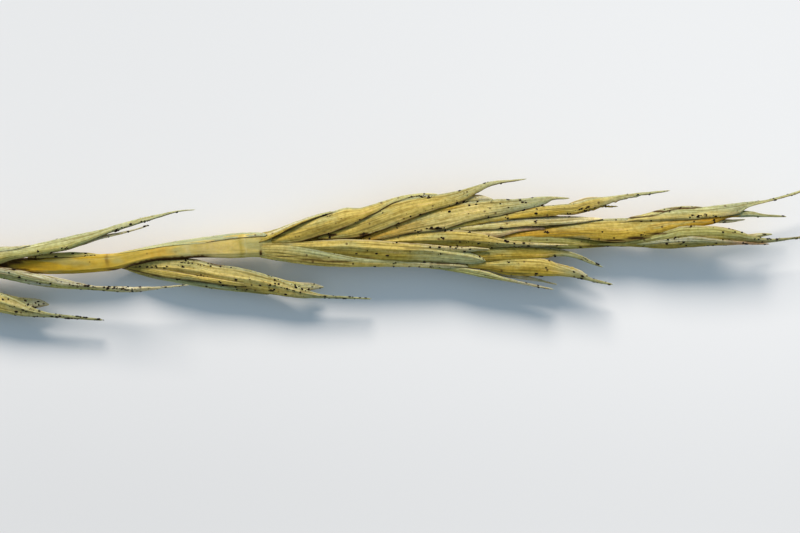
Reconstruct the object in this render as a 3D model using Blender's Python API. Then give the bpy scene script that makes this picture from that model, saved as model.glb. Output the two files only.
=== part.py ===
"""A wheatgrass seed head, lying on a flat surface: the rachis on a short length of culm, six
spikelets along it and a larger one at its end.

Blender 4.5. Metres, +Z up, X along the head towards its tips, Y across it. The origin is the
middle of the bottom of the head's box. The photograph's view is from above, with +Y upwards.
"""

import math
import random

import bmesh
import bpy
from mathutils import Vector

# The plant's own frame: millimetres, with X = Y = Z = 0 on the rachis's axis where the end spikelet begins
MM = 0.001
SURFACE_Z = -0.77  # height of the surface that the head lies on
SEED = 11
FIRST_LOOSE_SPIKELET = 4  # from this one down, each tip is drawn a little way out of line
TIP_SCATTER_ALONG = 0.25
TIP_SCATTER_ACROSS = 0.06
SECTION_TWIST = 6  # degrees, the most that a blade's section is turned
LEAST_DEPTH_SHARE = 0.8  # a blade is never flatter than this share of its half width

# Rachis, culm end first: x, y, z of its axis, half width, half thickness. Each node is a low ring
# on the internode before it, and a narrow neck follows.
RACHIS = (
    (-43.0, 0.55, -0.33, 0.48, 0.48),
    (-38.5, 0.15, -0.33, 0.47, 0.47),
    (-34.7, -0.25, -0.32, 0.46, 0.44),
    (-34.0, -0.34, -0.32, 0.52, 0.46),
    (-33.3, -0.42, -0.30, 0.40, 0.37),
    (-29.6, -0.64, -0.24, 0.42, 0.37),
    (-29.0, -0.68, -0.23, 0.49, 0.42),
    (-28.3, -0.73, -0.21, 0.38, 0.34),
    (-24.6, -0.98, -0.13, 0.40, 0.34),
    (-24.0, -1.02, -0.12, 0.47, 0.39),
    (-23.3, -1.03, -0.11, 0.36, 0.32),
    (-19.1, -0.92, -0.05, 0.38, 0.32),
    (-18.5, -0.90, -0.04, 0.45, 0.37),
    (-17.8, -0.90, -0.03, 0.34, 0.30),
    (-13.6, -0.90, 0.0, 0.34, 0.29),
    (-13.0, -0.90, 0.0, 0.38, 0.31),
    (-12.3, -0.88, 0.0, 0.30, 0.27),
    (-10.1, -0.84, 0.0, 0.25, 0.25),
    (-8.8, -0.87, 0.0, 0.30, 0.28),
    (-6.6, -0.75, 0.0, 0.37, 0.31),
    (-6.1, -0.70, 0.0, 0.39, 0.32),
    (-5.0, -0.44, 0.0, 0.29, 0.28),
    (-3.4, -0.17, 0.0, 0.31, 0.29),
    (-2.3, -0.10, 0.0, 0.36, 0.30),
    (-0.75, 0.0, 0.0, 0.45, 0.33),
    (-0.45, 0.0, 0.0, 0.49, 0.36),
    (-0.05, 0.0, 0.0, 0.42, 0.34),
)
RACHIS_SIDES = 10

# A blade (lemma, glume or palea) is a closed lance-shaped scale: (share of its length, share of its
# greatest width), with its awn or point after the last full station
LEMMA_OUTLINE = (
    (0.0, 0.42),
    (0.10, 0.72),
    (0.22, 0.94),
    (0.36, 1.0),
    (0.52, 0.86),
    (0.67, 0.58),
    (0.79, 0.32),
    (0.90, 0.17),
    (1.0, 0.06),
)
GLUME_OUTLINE = (
    (0.0, 0.50),
    (0.10, 0.84),
    (0.24, 1.0),
    (0.42, 0.86),
    (0.62, 0.60),
    (0.80, 0.34),
    (0.92, 0.20),
    (1.0, 0.09),
)
PALEA_OUTLINE = (
    (0.0, 0.70),
    (0.45, 1.0),
    (0.80, 0.62),
    (1.0, 0.18),
)
OUTLINES = {"lemma": LEMMA_OUTLINE, "glume": GLUME_OUTLINE, "palea": PALEA_OUTLINE}
SIDES = {"lemma": 8, "glume": 8, "palea": 6}

# Each blade below is: kind, foot (x, y), tip (x, y), sideways bow of its middle towards +Y,
# half width, half depth, and the heights (z) of its foot, middle and tip.

# End spikelet: florets in two ranks on a hidden rachilla, the outer ones clasping the inner ones
END_SPIKELET = (
    ("glume", (0.02, 0.18), (5.10, 1.78), 0.14, 0.22, 0.62, 0.0, 0.0, 0.10),
    ("lemma", (0.02, 0.10), (7.42, 2.13), 0.00, 0.44, 0.80, 0.0, -0.02, 0.12),
    ("lemma", (1.90, 0.10), (11.08, 2.75), 0.06, 0.47, 0.76, 0.0, -0.03, 0.20),
    ("palea", (6.00, 1.25), (9.75, 1.90), 0.04, 0.26, 0.30, 0.0, 0.05, 0.05),
    ("lemma", (4.15, 0.20), (12.92, 1.98), 0.20, 0.42, 0.72, 0.0, 0.0, 0.10),
    ("lemma", (7.10, 0.50), (17.00, 2.28), 0.00, 0.37, 0.66, 0.0, 0.0, 0.22),
    ("palea", (11.2, 1.25), (14.80, 1.40), 0.05, 0.26, 0.28, 0.0, 0.05, 0.0),
    ("lemma", (6.60, 0.52), (13.60, 0.92), 0.10, 0.34, 0.60, 0.10, 0.18, 0.25),
    ("lemma", (9.80, 0.45), (20.00, 1.10), -0.05, 0.58, 0.52, 0.0, 0.0, 0.05),
    ("lemma", (12.0, 0.55), (22.90, 2.46), -0.38, 0.38, 0.56, 0.0, 0.05, 0.30),
    ("palea", (16.6, 1.20), (21.80, 1.21), 0.12, 0.26, 0.24, 0.10, 0.10, 0.10),
    ("glume", (0.02, -0.22), (9.33, -0.80), -0.18, 0.40, 0.70, 0.0, 0.0, -0.05),
    ("lemma", (0.80, 0.05), (9.54, -0.17), -0.20, 0.42, 0.80, 0.03, 0.01, 0.12),
    ("lemma", (4.40, 0.24), (12.71, 0.04), 0.06, 0.38, 0.70, 0.08, 0.06, 0.18),
    ("lemma", (4.40, -0.42), (12.37, -1.91), 0.22, 0.32, 0.66, 0.0, 0.0, -0.05),
    ("palea", (8.20, -0.30), (14.21, -0.92), 0.24, 0.30, 0.50, 0.0, 0.05, 0.0),
    ("lemma", (6.40, -0.30), (14.66, -1.65), 0.08, 0.40, 0.62, 0.0, 0.0, 0.0),
    ("lemma", (8.00, 0.18), (16.40, 0.20), -0.12, 0.38, 0.58, 0.05, 0.08, 0.10),
    ("lemma", (12.6, 0.30), (22.95, 0.38), -0.02, 0.50, 0.50, 0.0, 0.0, 0.12),
    ("palea", (17.2, 0.50), (21.20, 0.47), 0.04, 0.26, 0.26, 0.0, 0.0, 0.05),
)
# Rachilla that the florets stand on: x, y, half width, half thickness
RACHILLA = (
    (0.0, 0.0, 0.41, 0.34),
    (1.6, 0.02, 0.44, 0.46),
    (5.0, 0.10, 0.46, 0.48),
    (9.0, 0.30, 0.44, 0.42),
    (13.0, 0.55, 0.36, 0.32),
    (18.0, 0.85, 0.20, 0.18),
)

# Spikelet seated on top of the rachis, its two florets to either side of it, from its own node
TOP_SPIKELET = (
    ("glume", (0.00, 0.20), (5.20, 1.08), -0.10, 0.22, 0.30, 0.0, -0.06, -0.12),
    ("lemma", (0.05, 0.12), (10.33, 2.39), -0.22, 0.30, 0.34, 0.0, -0.20, -0.24),
    ("palea", (4.20, 0.62), (8.25, 1.70), -0.12, 0.16, 0.20, -0.18, -0.22, -0.24),
    ("glume", (0.00, -0.20), (4.20, -0.80), -0.06, 0.21, 0.28, 0.0, -0.04, -0.06),
    ("lemma", (0.05, -0.12), (9.21, -0.86), -0.36, 0.26, 0.32, 0.0, -0.10, 0.0),
    ("palea", (2.60, -0.40), (7.20, -0.72), 0.08, 0.24, 0.20, -0.06, -0.08, -0.04),
)
TOP_FOOT_RISE = 0.29  # of the spikelet's axis over the top of the rachis at its node

# Spikelet seated on the rachis's lower edge and leaning away from it, from its own node
SIDE_SPIKELET = (
    ("glume", (0.00, -0.04), (6.60, -0.98), -0.10, 0.24, 0.40, 0.0, 0.16, 0.22),
    ("glume", (0.00, 0.02), (5.60, -0.30), 0.04, 0.22, 0.34, 0.0, 0.14, 0.16),
    ("lemma", (0.02, -0.02), (10.45, -1.24), -0.12, 0.42, 0.46, 0.0, 0.18, 0.30),
    ("lemma", (0.10, 0.02), (8.40, -0.76), 0.02, 0.38, 0.44, 0.0, 0.18, 0.22),
    ("palea", (4.20, -0.48), (8.90, -0.88), 0.06, 0.24, 0.24, 0.18, 0.22, 0.26),
)
SIDE_FOOT_DROP = 0.52  # how far it starts below the plane of the end spikelet's axis

# Short stalk under a spikelet, from its foot: x, y, z, half width, half thickness
STALKS = {
    "top": (
        (-0.45, 0.0, -0.17, 0.13, 0.07),
        (-0.05, 0.0, -0.08, 0.22, 0.15),
        (0.80, 0.0, 0.0, 0.24, 0.22),
    ),
    "side": (
        (-0.25, 0.02, 0.0, 0.13, 0.12),
        (0.20, 0.0, 0.0, 0.16, 0.16),
        (0.80, -0.08, 0.02, 0.18, 0.20),
    ),
}

# Spikelets in order down from the end one: seat, node's x, size, spread, and for a side seat how far
# the spikelet's axis starts in from the rachis's lower edge
SPIKELETS = (
    ("side", -5.95, 1.0, 1.0, 0.05),
    ("top", -13.0, 1.0, 1.0, 0.0),
    ("side", -18.5, 1.13, 1.34, -0.04),
    ("top", -24.0, 1.05, 1.0, 0.0),
    ("side", -29.0, 1.08, 1.30, -0.26),
    ("top", -34.0, 0.98, 1.05, 0.0),
)

# Colour (linear RGB) and roughness of each material
STRAW = ((0.36, 0.26, 0.085), 0.62)
RACHIS_GOLD = ((0.40, 0.27, 0.055), 0.55)


def clear_scene():
    for leftover in list(bpy.data.objects):
        bpy.data.objects.remove(leftover)


def plain_material(name, finish):
    colour, roughness = finish
    material = bpy.data.materials.new(name)
    material.use_nodes = True
    shader = material.node_tree.nodes["Principled BSDF"]
    shader.inputs["Base Color"].default_value = (*colour, 1.0)
    shader.inputs["Roughness"].default_value = roughness
    shader.inputs["Metallic"].default_value = 0.0
    return material


def loft(name, centres, half_sizes, sides, turn=0.0):
    """A closed solid with an elliptical section at each centre: half width across, half depth in Z."""
    mesh = bmesh.new()
    rings = []
    for i, centre in enumerate(centres):
        ahead = centres[min(i + 1, len(centres) - 1)]
        behind = centres[max(i - 1, 0)]
        along = (ahead - behind).normalized()
        across = Vector((0, 0, 1)).cross(along).normalized()
        upward = along.cross(across)
        half_width, half_depth = half_sizes[i]
        ring = []
        for k in range(sides):
            angle = turn + 2 * math.pi * k / sides
            offset = across * (half_width * math.cos(angle)) + upward * (half_depth * math.sin(angle))
            ring.append(mesh.verts.new((centre + offset) * MM))
        rings.append(ring)
    for ring, following in zip(rings, rings[1:]):
        for k in range(sides):
            after = (k + 1) % sides
            mesh.faces.new((ring[k], ring[after], following[after], following[k]))
    mesh.faces.new(list(reversed(rings[0])))
    mesh.faces.new(rings[-1])
    bmesh.ops.recalc_face_normals(mesh, faces=mesh.faces)
    data = bpy.data.meshes.new(name)
    mesh.to_mesh(data)
    mesh.free()
    return bpy.data.objects.new(name, data)


def blade_solid(name, blade, draw):
    """One lemma, glume or palea as a lance-shaped solid along its own bowed line."""
    kind, foot, tip, bow, half_width, half_depth, z_foot, z_middle, z_tip = blade
    foot = Vector((*foot, z_foot))
    tip = Vector((*tip, z_tip))
    sideways = Vector((0, 0, 1)).cross(tip - foot).normalized()
    lift = z_middle - (z_foot + z_tip) / 2
    centres = []
    half_sizes = []
    for along, width in OUTLINES[kind]:
        swell = 4 * along * (1 - along)
        centre = foot.lerp(tip, along) + sideways * (bow * swell)
        centre.z += lift * swell
        centres.append(centre)
        thickest = max(half_depth, half_width * LEAST_DEPTH_SHARE)
        half_sizes.append((half_width * width, thickest * width))
    turn = math.radians(draw.uniform(-SECTION_TWIST, SECTION_TWIST))
    return loft(name, centres, half_sizes, SIDES[kind], turn)


def fuse(name, pieces, material):
    """Joins the pieces in one closed body, and cuts flat what would sink into the surface."""
    gathered = bpy.data.collections.new(name + "_pieces")
    bpy.context.scene.collection.children.link(gathered)
    body, *others = pieces
    body.name = name
    bpy.context.scene.collection.objects.link(body)
    for piece in others:
        gathered.objects.link(piece)
    union = body.modifiers.new("union", "BOOLEAN")
    union.operation = "UNION"
    union.operand_type = "COLLECTION"
    union.collection = gathered
    union.solver = "EXACT"
    apply_modifiers(body)
    for piece in others:
        bpy.data.objects.remove(piece)
    bpy.data.collections.remove(gathered)
    rest_on_surface(body)
    body.data.materials.clear()
    body.data.materials.append(material)
    return body


def apply_modifiers(body):
    bpy.context.view_layer.update()
    evaluated = body.evaluated_get(bpy.context.evaluated_depsgraph_get())
    finished = bpy.data.meshes.new_from_object(evaluated)
    body.modifiers.clear()
    body.data = finished


def rest_on_surface(body):
    """Cuts the body along the surface that the head lies on, which leaves a small flat spot."""
    mesh = bmesh.new()
    mesh.from_mesh(body.data)
    geometry = mesh.verts[:] + mesh.edges[:] + mesh.faces[:]
    level = Vector((0, 0, SURFACE_Z * MM))
    cut = bmesh.ops.bisect_plane(mesh, geom=geometry, dist=1e-8, plane_co=level,
                                 plane_no=(0, 0, 1), clear_inner=True)
    rim = [item for item in cut["geom_cut"] if isinstance(item, bmesh.types.BMEdge)]
    if rim:
        bmesh.ops.edgenet_fill(mesh, edges=rim)
    bmesh.ops.recalc_face_normals(mesh, faces=mesh.faces)
    mesh.to_mesh(body.data)
    mesh.free()


def rachis_at(x):
    """The rachis's axis, half width and half thickness at a place along it."""
    for before, after in zip(RACHIS, RACHIS[1:]):
        if x <= after[0]:
            share = (x - before[0]) / (after[0] - before[0])
            return [a + (b - a) * share for a, b in zip(before, after)]
    return list(RACHIS[-1])


def rachis(material):
    points = [Vector(row[:3]) for row in RACHIS]
    halves = [row[3:] for row in RACHIS]
    body = loft("rachis", points, halves, RACHIS_SIDES)
    return fuse("rachis", [body], material)


def end_spikelet(material):
    draw = random.Random(SEED)
    line = [Vector((x, y, 0)) for x, y, _, _ in RACHILLA]
    halves = [row[2:] for row in RACHILLA]
    pieces = [loft("rachilla", line, halves, 8)]
    for number, blade in enumerate(END_SPIKELET):
        pieces.append(blade_solid(f"blade_{number}", blade, draw))
    return fuse("terminal_spikelet", pieces, material)


def side_spikelet(number, seat, node_x, size, spread, inset, material):
    """A spikelet of two florets and two glumes, on top of the rachis or at its lower edge."""
    draw = random.Random(SEED + number)
    x, y, z, rachis_half_width, rachis_half_thickness = rachis_at(node_x)
    if seat == "top":
        blades = TOP_SPIKELET
        foot = Vector((x, y, z + rachis_half_thickness + TOP_FOOT_RISE))
    else:
        blades = SIDE_SPIKELET
        foot = Vector((x, y - rachis_half_width + inset, -SIDE_FOOT_DROP))
    stalk = [foot + Vector(row[:3]) for row in STALKS[seat]]
    pieces = [loft("stalk", stalk, [row[3:] for row in STALKS[seat]], 8)]
    loose = number >= FIRST_LOOSE_SPIKELET
    for k, (kind, start, tip, bow, half_width, half_depth, *heights) in enumerate(blades):
        scatter = Vector((draw.uniform(-1, 1) * TIP_SCATTER_ALONG,
                          draw.uniform(-1, 1) * TIP_SCATTER_ACROSS)) * loose
        begin = (foot.x + start[0] * size, foot.y + start[1])
        end = (foot.x + tip[0] * size + scatter.x, foot.y + tip[1] * spread + scatter.y)
        levels = [foot.z + height for height in heights]
        placed = (kind, begin, end, bow, half_width, half_depth, *levels)
        pieces.append(blade_solid(f"blade_{number}_{k}", placed, draw))
    return fuse(f"spikelet_{number}", pieces, material)


def centre_on_origin(bodies):
    """Moves every body's mesh so that the origin is the middle of the bottom of the head's box."""
    corners = [vertex.co for body in bodies for vertex in body.data.vertices]
    low = Vector([min(corner[axis] for corner in corners) for axis in range(3)])
    high = Vector([max(corner[axis] for corner in corners) for axis in range(3)])
    shift = Vector((-(low.x + high.x) / 2, -(low.y + high.y) / 2, -low.z))
    for body in bodies:
        for vertex in body.data.vertices:
            vertex.co += shift


def main():
    clear_scene()
    straw = plain_material("straw", STRAW)
    gold = plain_material("rachis_gold", RACHIS_GOLD)
    bodies = [rachis(gold), end_spikelet(straw)]
    for number, row in enumerate(SPIKELETS, start=1):
        bodies.append(side_spikelet(number, *row, straw))
    centre_on_origin(bodies)
    for body in bodies:
        body.data.shade_smooth()


main()
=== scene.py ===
import math
import random

import bpy
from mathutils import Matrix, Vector, kdtree, noise


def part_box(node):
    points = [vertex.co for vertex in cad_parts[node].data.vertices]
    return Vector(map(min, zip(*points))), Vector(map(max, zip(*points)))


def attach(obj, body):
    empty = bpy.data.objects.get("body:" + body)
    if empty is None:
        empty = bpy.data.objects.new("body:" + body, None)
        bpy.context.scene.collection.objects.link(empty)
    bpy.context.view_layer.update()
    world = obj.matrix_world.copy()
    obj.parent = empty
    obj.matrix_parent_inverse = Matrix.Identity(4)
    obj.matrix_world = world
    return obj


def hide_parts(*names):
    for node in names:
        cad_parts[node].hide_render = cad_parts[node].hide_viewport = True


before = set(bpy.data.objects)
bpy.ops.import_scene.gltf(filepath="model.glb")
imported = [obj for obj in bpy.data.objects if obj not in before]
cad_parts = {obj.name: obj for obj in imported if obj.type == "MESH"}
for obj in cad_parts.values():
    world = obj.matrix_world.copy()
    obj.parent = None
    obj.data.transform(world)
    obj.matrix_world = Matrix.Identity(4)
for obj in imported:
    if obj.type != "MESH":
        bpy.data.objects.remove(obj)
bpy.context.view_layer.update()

mm = 0.001

# Every size below is in millimetres of the plant's own frame: its zero is where the end spikelet
# begins, on the rachis's axis. +X runs to the tip, +Z away from the surface it lies on.
plant = {
    "seatGap": 0.05,        # rachis's end to the end spikelet
    "endRingDepth": 0.2,    # how much of the rachis's end counts as its last ring
    "axisHeight": 0.77,     # of the plant's axis over the surface
    "seed": 23,
}
dice = random.Random(plant["seed"])
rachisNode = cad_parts["rachis"]
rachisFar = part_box("rachis")[1]
endRing = [vertex.co for vertex in rachisNode.data.vertices
           if vertex.co.x > rachisFar.x - plant["endRingDepth"] * mm]
endMiddle = sum(endRing, Vector()) / len(endRing)
plantOrigin = Vector((rachisFar.x + plant["seatGap"] * mm, endMiddle.y, plant["axisHeight"] * mm))
surfaceZ = -plant["axisHeight"]
print("plant frame starts at", [round(value / mm, 3) for value in plantOrigin], "mm")


def inPlant(x, y, z):
    return plantOrigin + Vector((x, y, z)) * mm


def easedValue(rows, at, column=1):
    # Cubic through the rows, with each slope from its neighbours
    last = len(rows) - 1
    k = 0
    while k < last - 1 and at > rows[k + 1][0]:
        k += 1
    x0, x1 = rows[k][0], rows[k + 1][0]
    y0, y1 = rows[k][column], rows[k + 1][column]
    before, after = rows[max(k - 1, 0)], rows[min(k + 2, last)]
    slope0 = (y1 - before[column]) / (x1 - before[0])
    slope1 = (after[column] - y0) / (after[0] - x0)
    span = x1 - x0
    t = min(max((at - x0) / span, 0.0), 1.0)
    return ((2 * t ** 3 - 3 * t ** 2 + 1) * y0 + (t ** 3 - 2 * t ** 2 + t) * slope0 * span
            + (3 * t ** 2 - 2 * t ** 3) * y1 + (t ** 3 - t ** 2) * slope1 * span)


def smoothStep(low, high, value):
    t = min(max((value - low) / (high - low), 0.0), 1.0)
    return t * t * (3 - 2 * t)


def blend(low, high, share):
    return tuple(a + (b - a) * share for a, b in zip(low, high))


# Colours of dry grass, as linear light
palette = {
    "straw": (0.47, 0.375, 0.100),
    "dullStraw": (0.345, 0.268, 0.056),
    "paleStraw": (0.53, 0.445, 0.160),
    "cream": (0.56, 0.50, 0.27),
    "gold": (0.45, 0.320, 0.045),
    "deepGold": (0.40, 0.260, 0.012),
    "amber": (0.46, 0.250, 0.010),
    "olive": (0.31, 0.245, 0.040),
    "green": (0.36, 0.350, 0.120),
    "glaucous": (0.385, 0.395, 0.195),
    "tipGreen": (0.29, 0.315, 0.18),
    "grey": (0.41, 0.405, 0.27),
    "pink": (0.50, 0.375, 0.20),
    "rose": (0.47, 0.29, 0.17),
    "brown": (0.20, 0.105, 0.025),
    "hyaline": (0.45, 0.43, 0.30),
}
huskShape = {
    "roundness": 2.4,       # of the section: 2 is a parabola, more is flatter on top
    "rolled": 0.48,         # how steeply a rolled edge falls
    "free": 1.25,           # how gently a free margin runs out
    "margin": 0.034,        # thickness of the papery margin
    "nerveHeight": 0.006,
    "foldHeight": 0.045,
    "waveHeight": 0.030,
    "waveLength": 1.1,
    "edgeWave": 0.012,
    "edgeWaveLength": 0.30,
    "steps": (92, 42),
    "smallSteps": (40, 18),
    "smallLength": 3.2,     # a husk shorter than this, or narrower than the next, has smallSteps
    "smallWidth": 0.22,
    "underSteps": 10,
    "crackWidth": 0.034,
    "crackReach": 0.12,
    "rimWidth": 0.022,
    "lowerRim": 1.6,        # how much wider the rim of a lower edge is
    "upperRim": 0.4,        # how strong the rim of an upper edge is
    "seamEnd": 0.06,
    "raggedFrom": (0.40, 0.60),
    "raggedTo": (1.0, 0.85),
    "keelWidth": 0.10,      # share of the width
    "restStep": 0.0015,     # between the heights on which the husks rest, so that no two share one
    "restHeights": 19,
    "pointedEnd": 0.015,    # share of the length in which the tip draws together
}
huskPaint = {
    "sides": (0.30, 0.70),         # share of the width between the colours of the two sides
    # painted shade: deep gold where the next husk's margin covers and shades an edge
    "shadedCoveredEdge": (0.30, 0.12),   # share of the width with the gold of a covered edge
    "bareEdge": (0.16, 0.05),      # and with the green of a bare one
    "bareChange": 0.12,
    "edgeStrength": 0.85,
    "footReach": 0.26,             # share of the length in the colour of the foot
    "footStrength": 0.85,
    "tipFrom": 0.58,               # share of the length where the colour of the tip begins
    "tipReach": 0.28,
    "tipStrength": 0.95,
    "paleEdge": (0.09, 0.03),      # share of the width of a pale margin
    "paleFrom": (0.10, 0.25),
    "lowerPale": 0.25,
}
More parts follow.
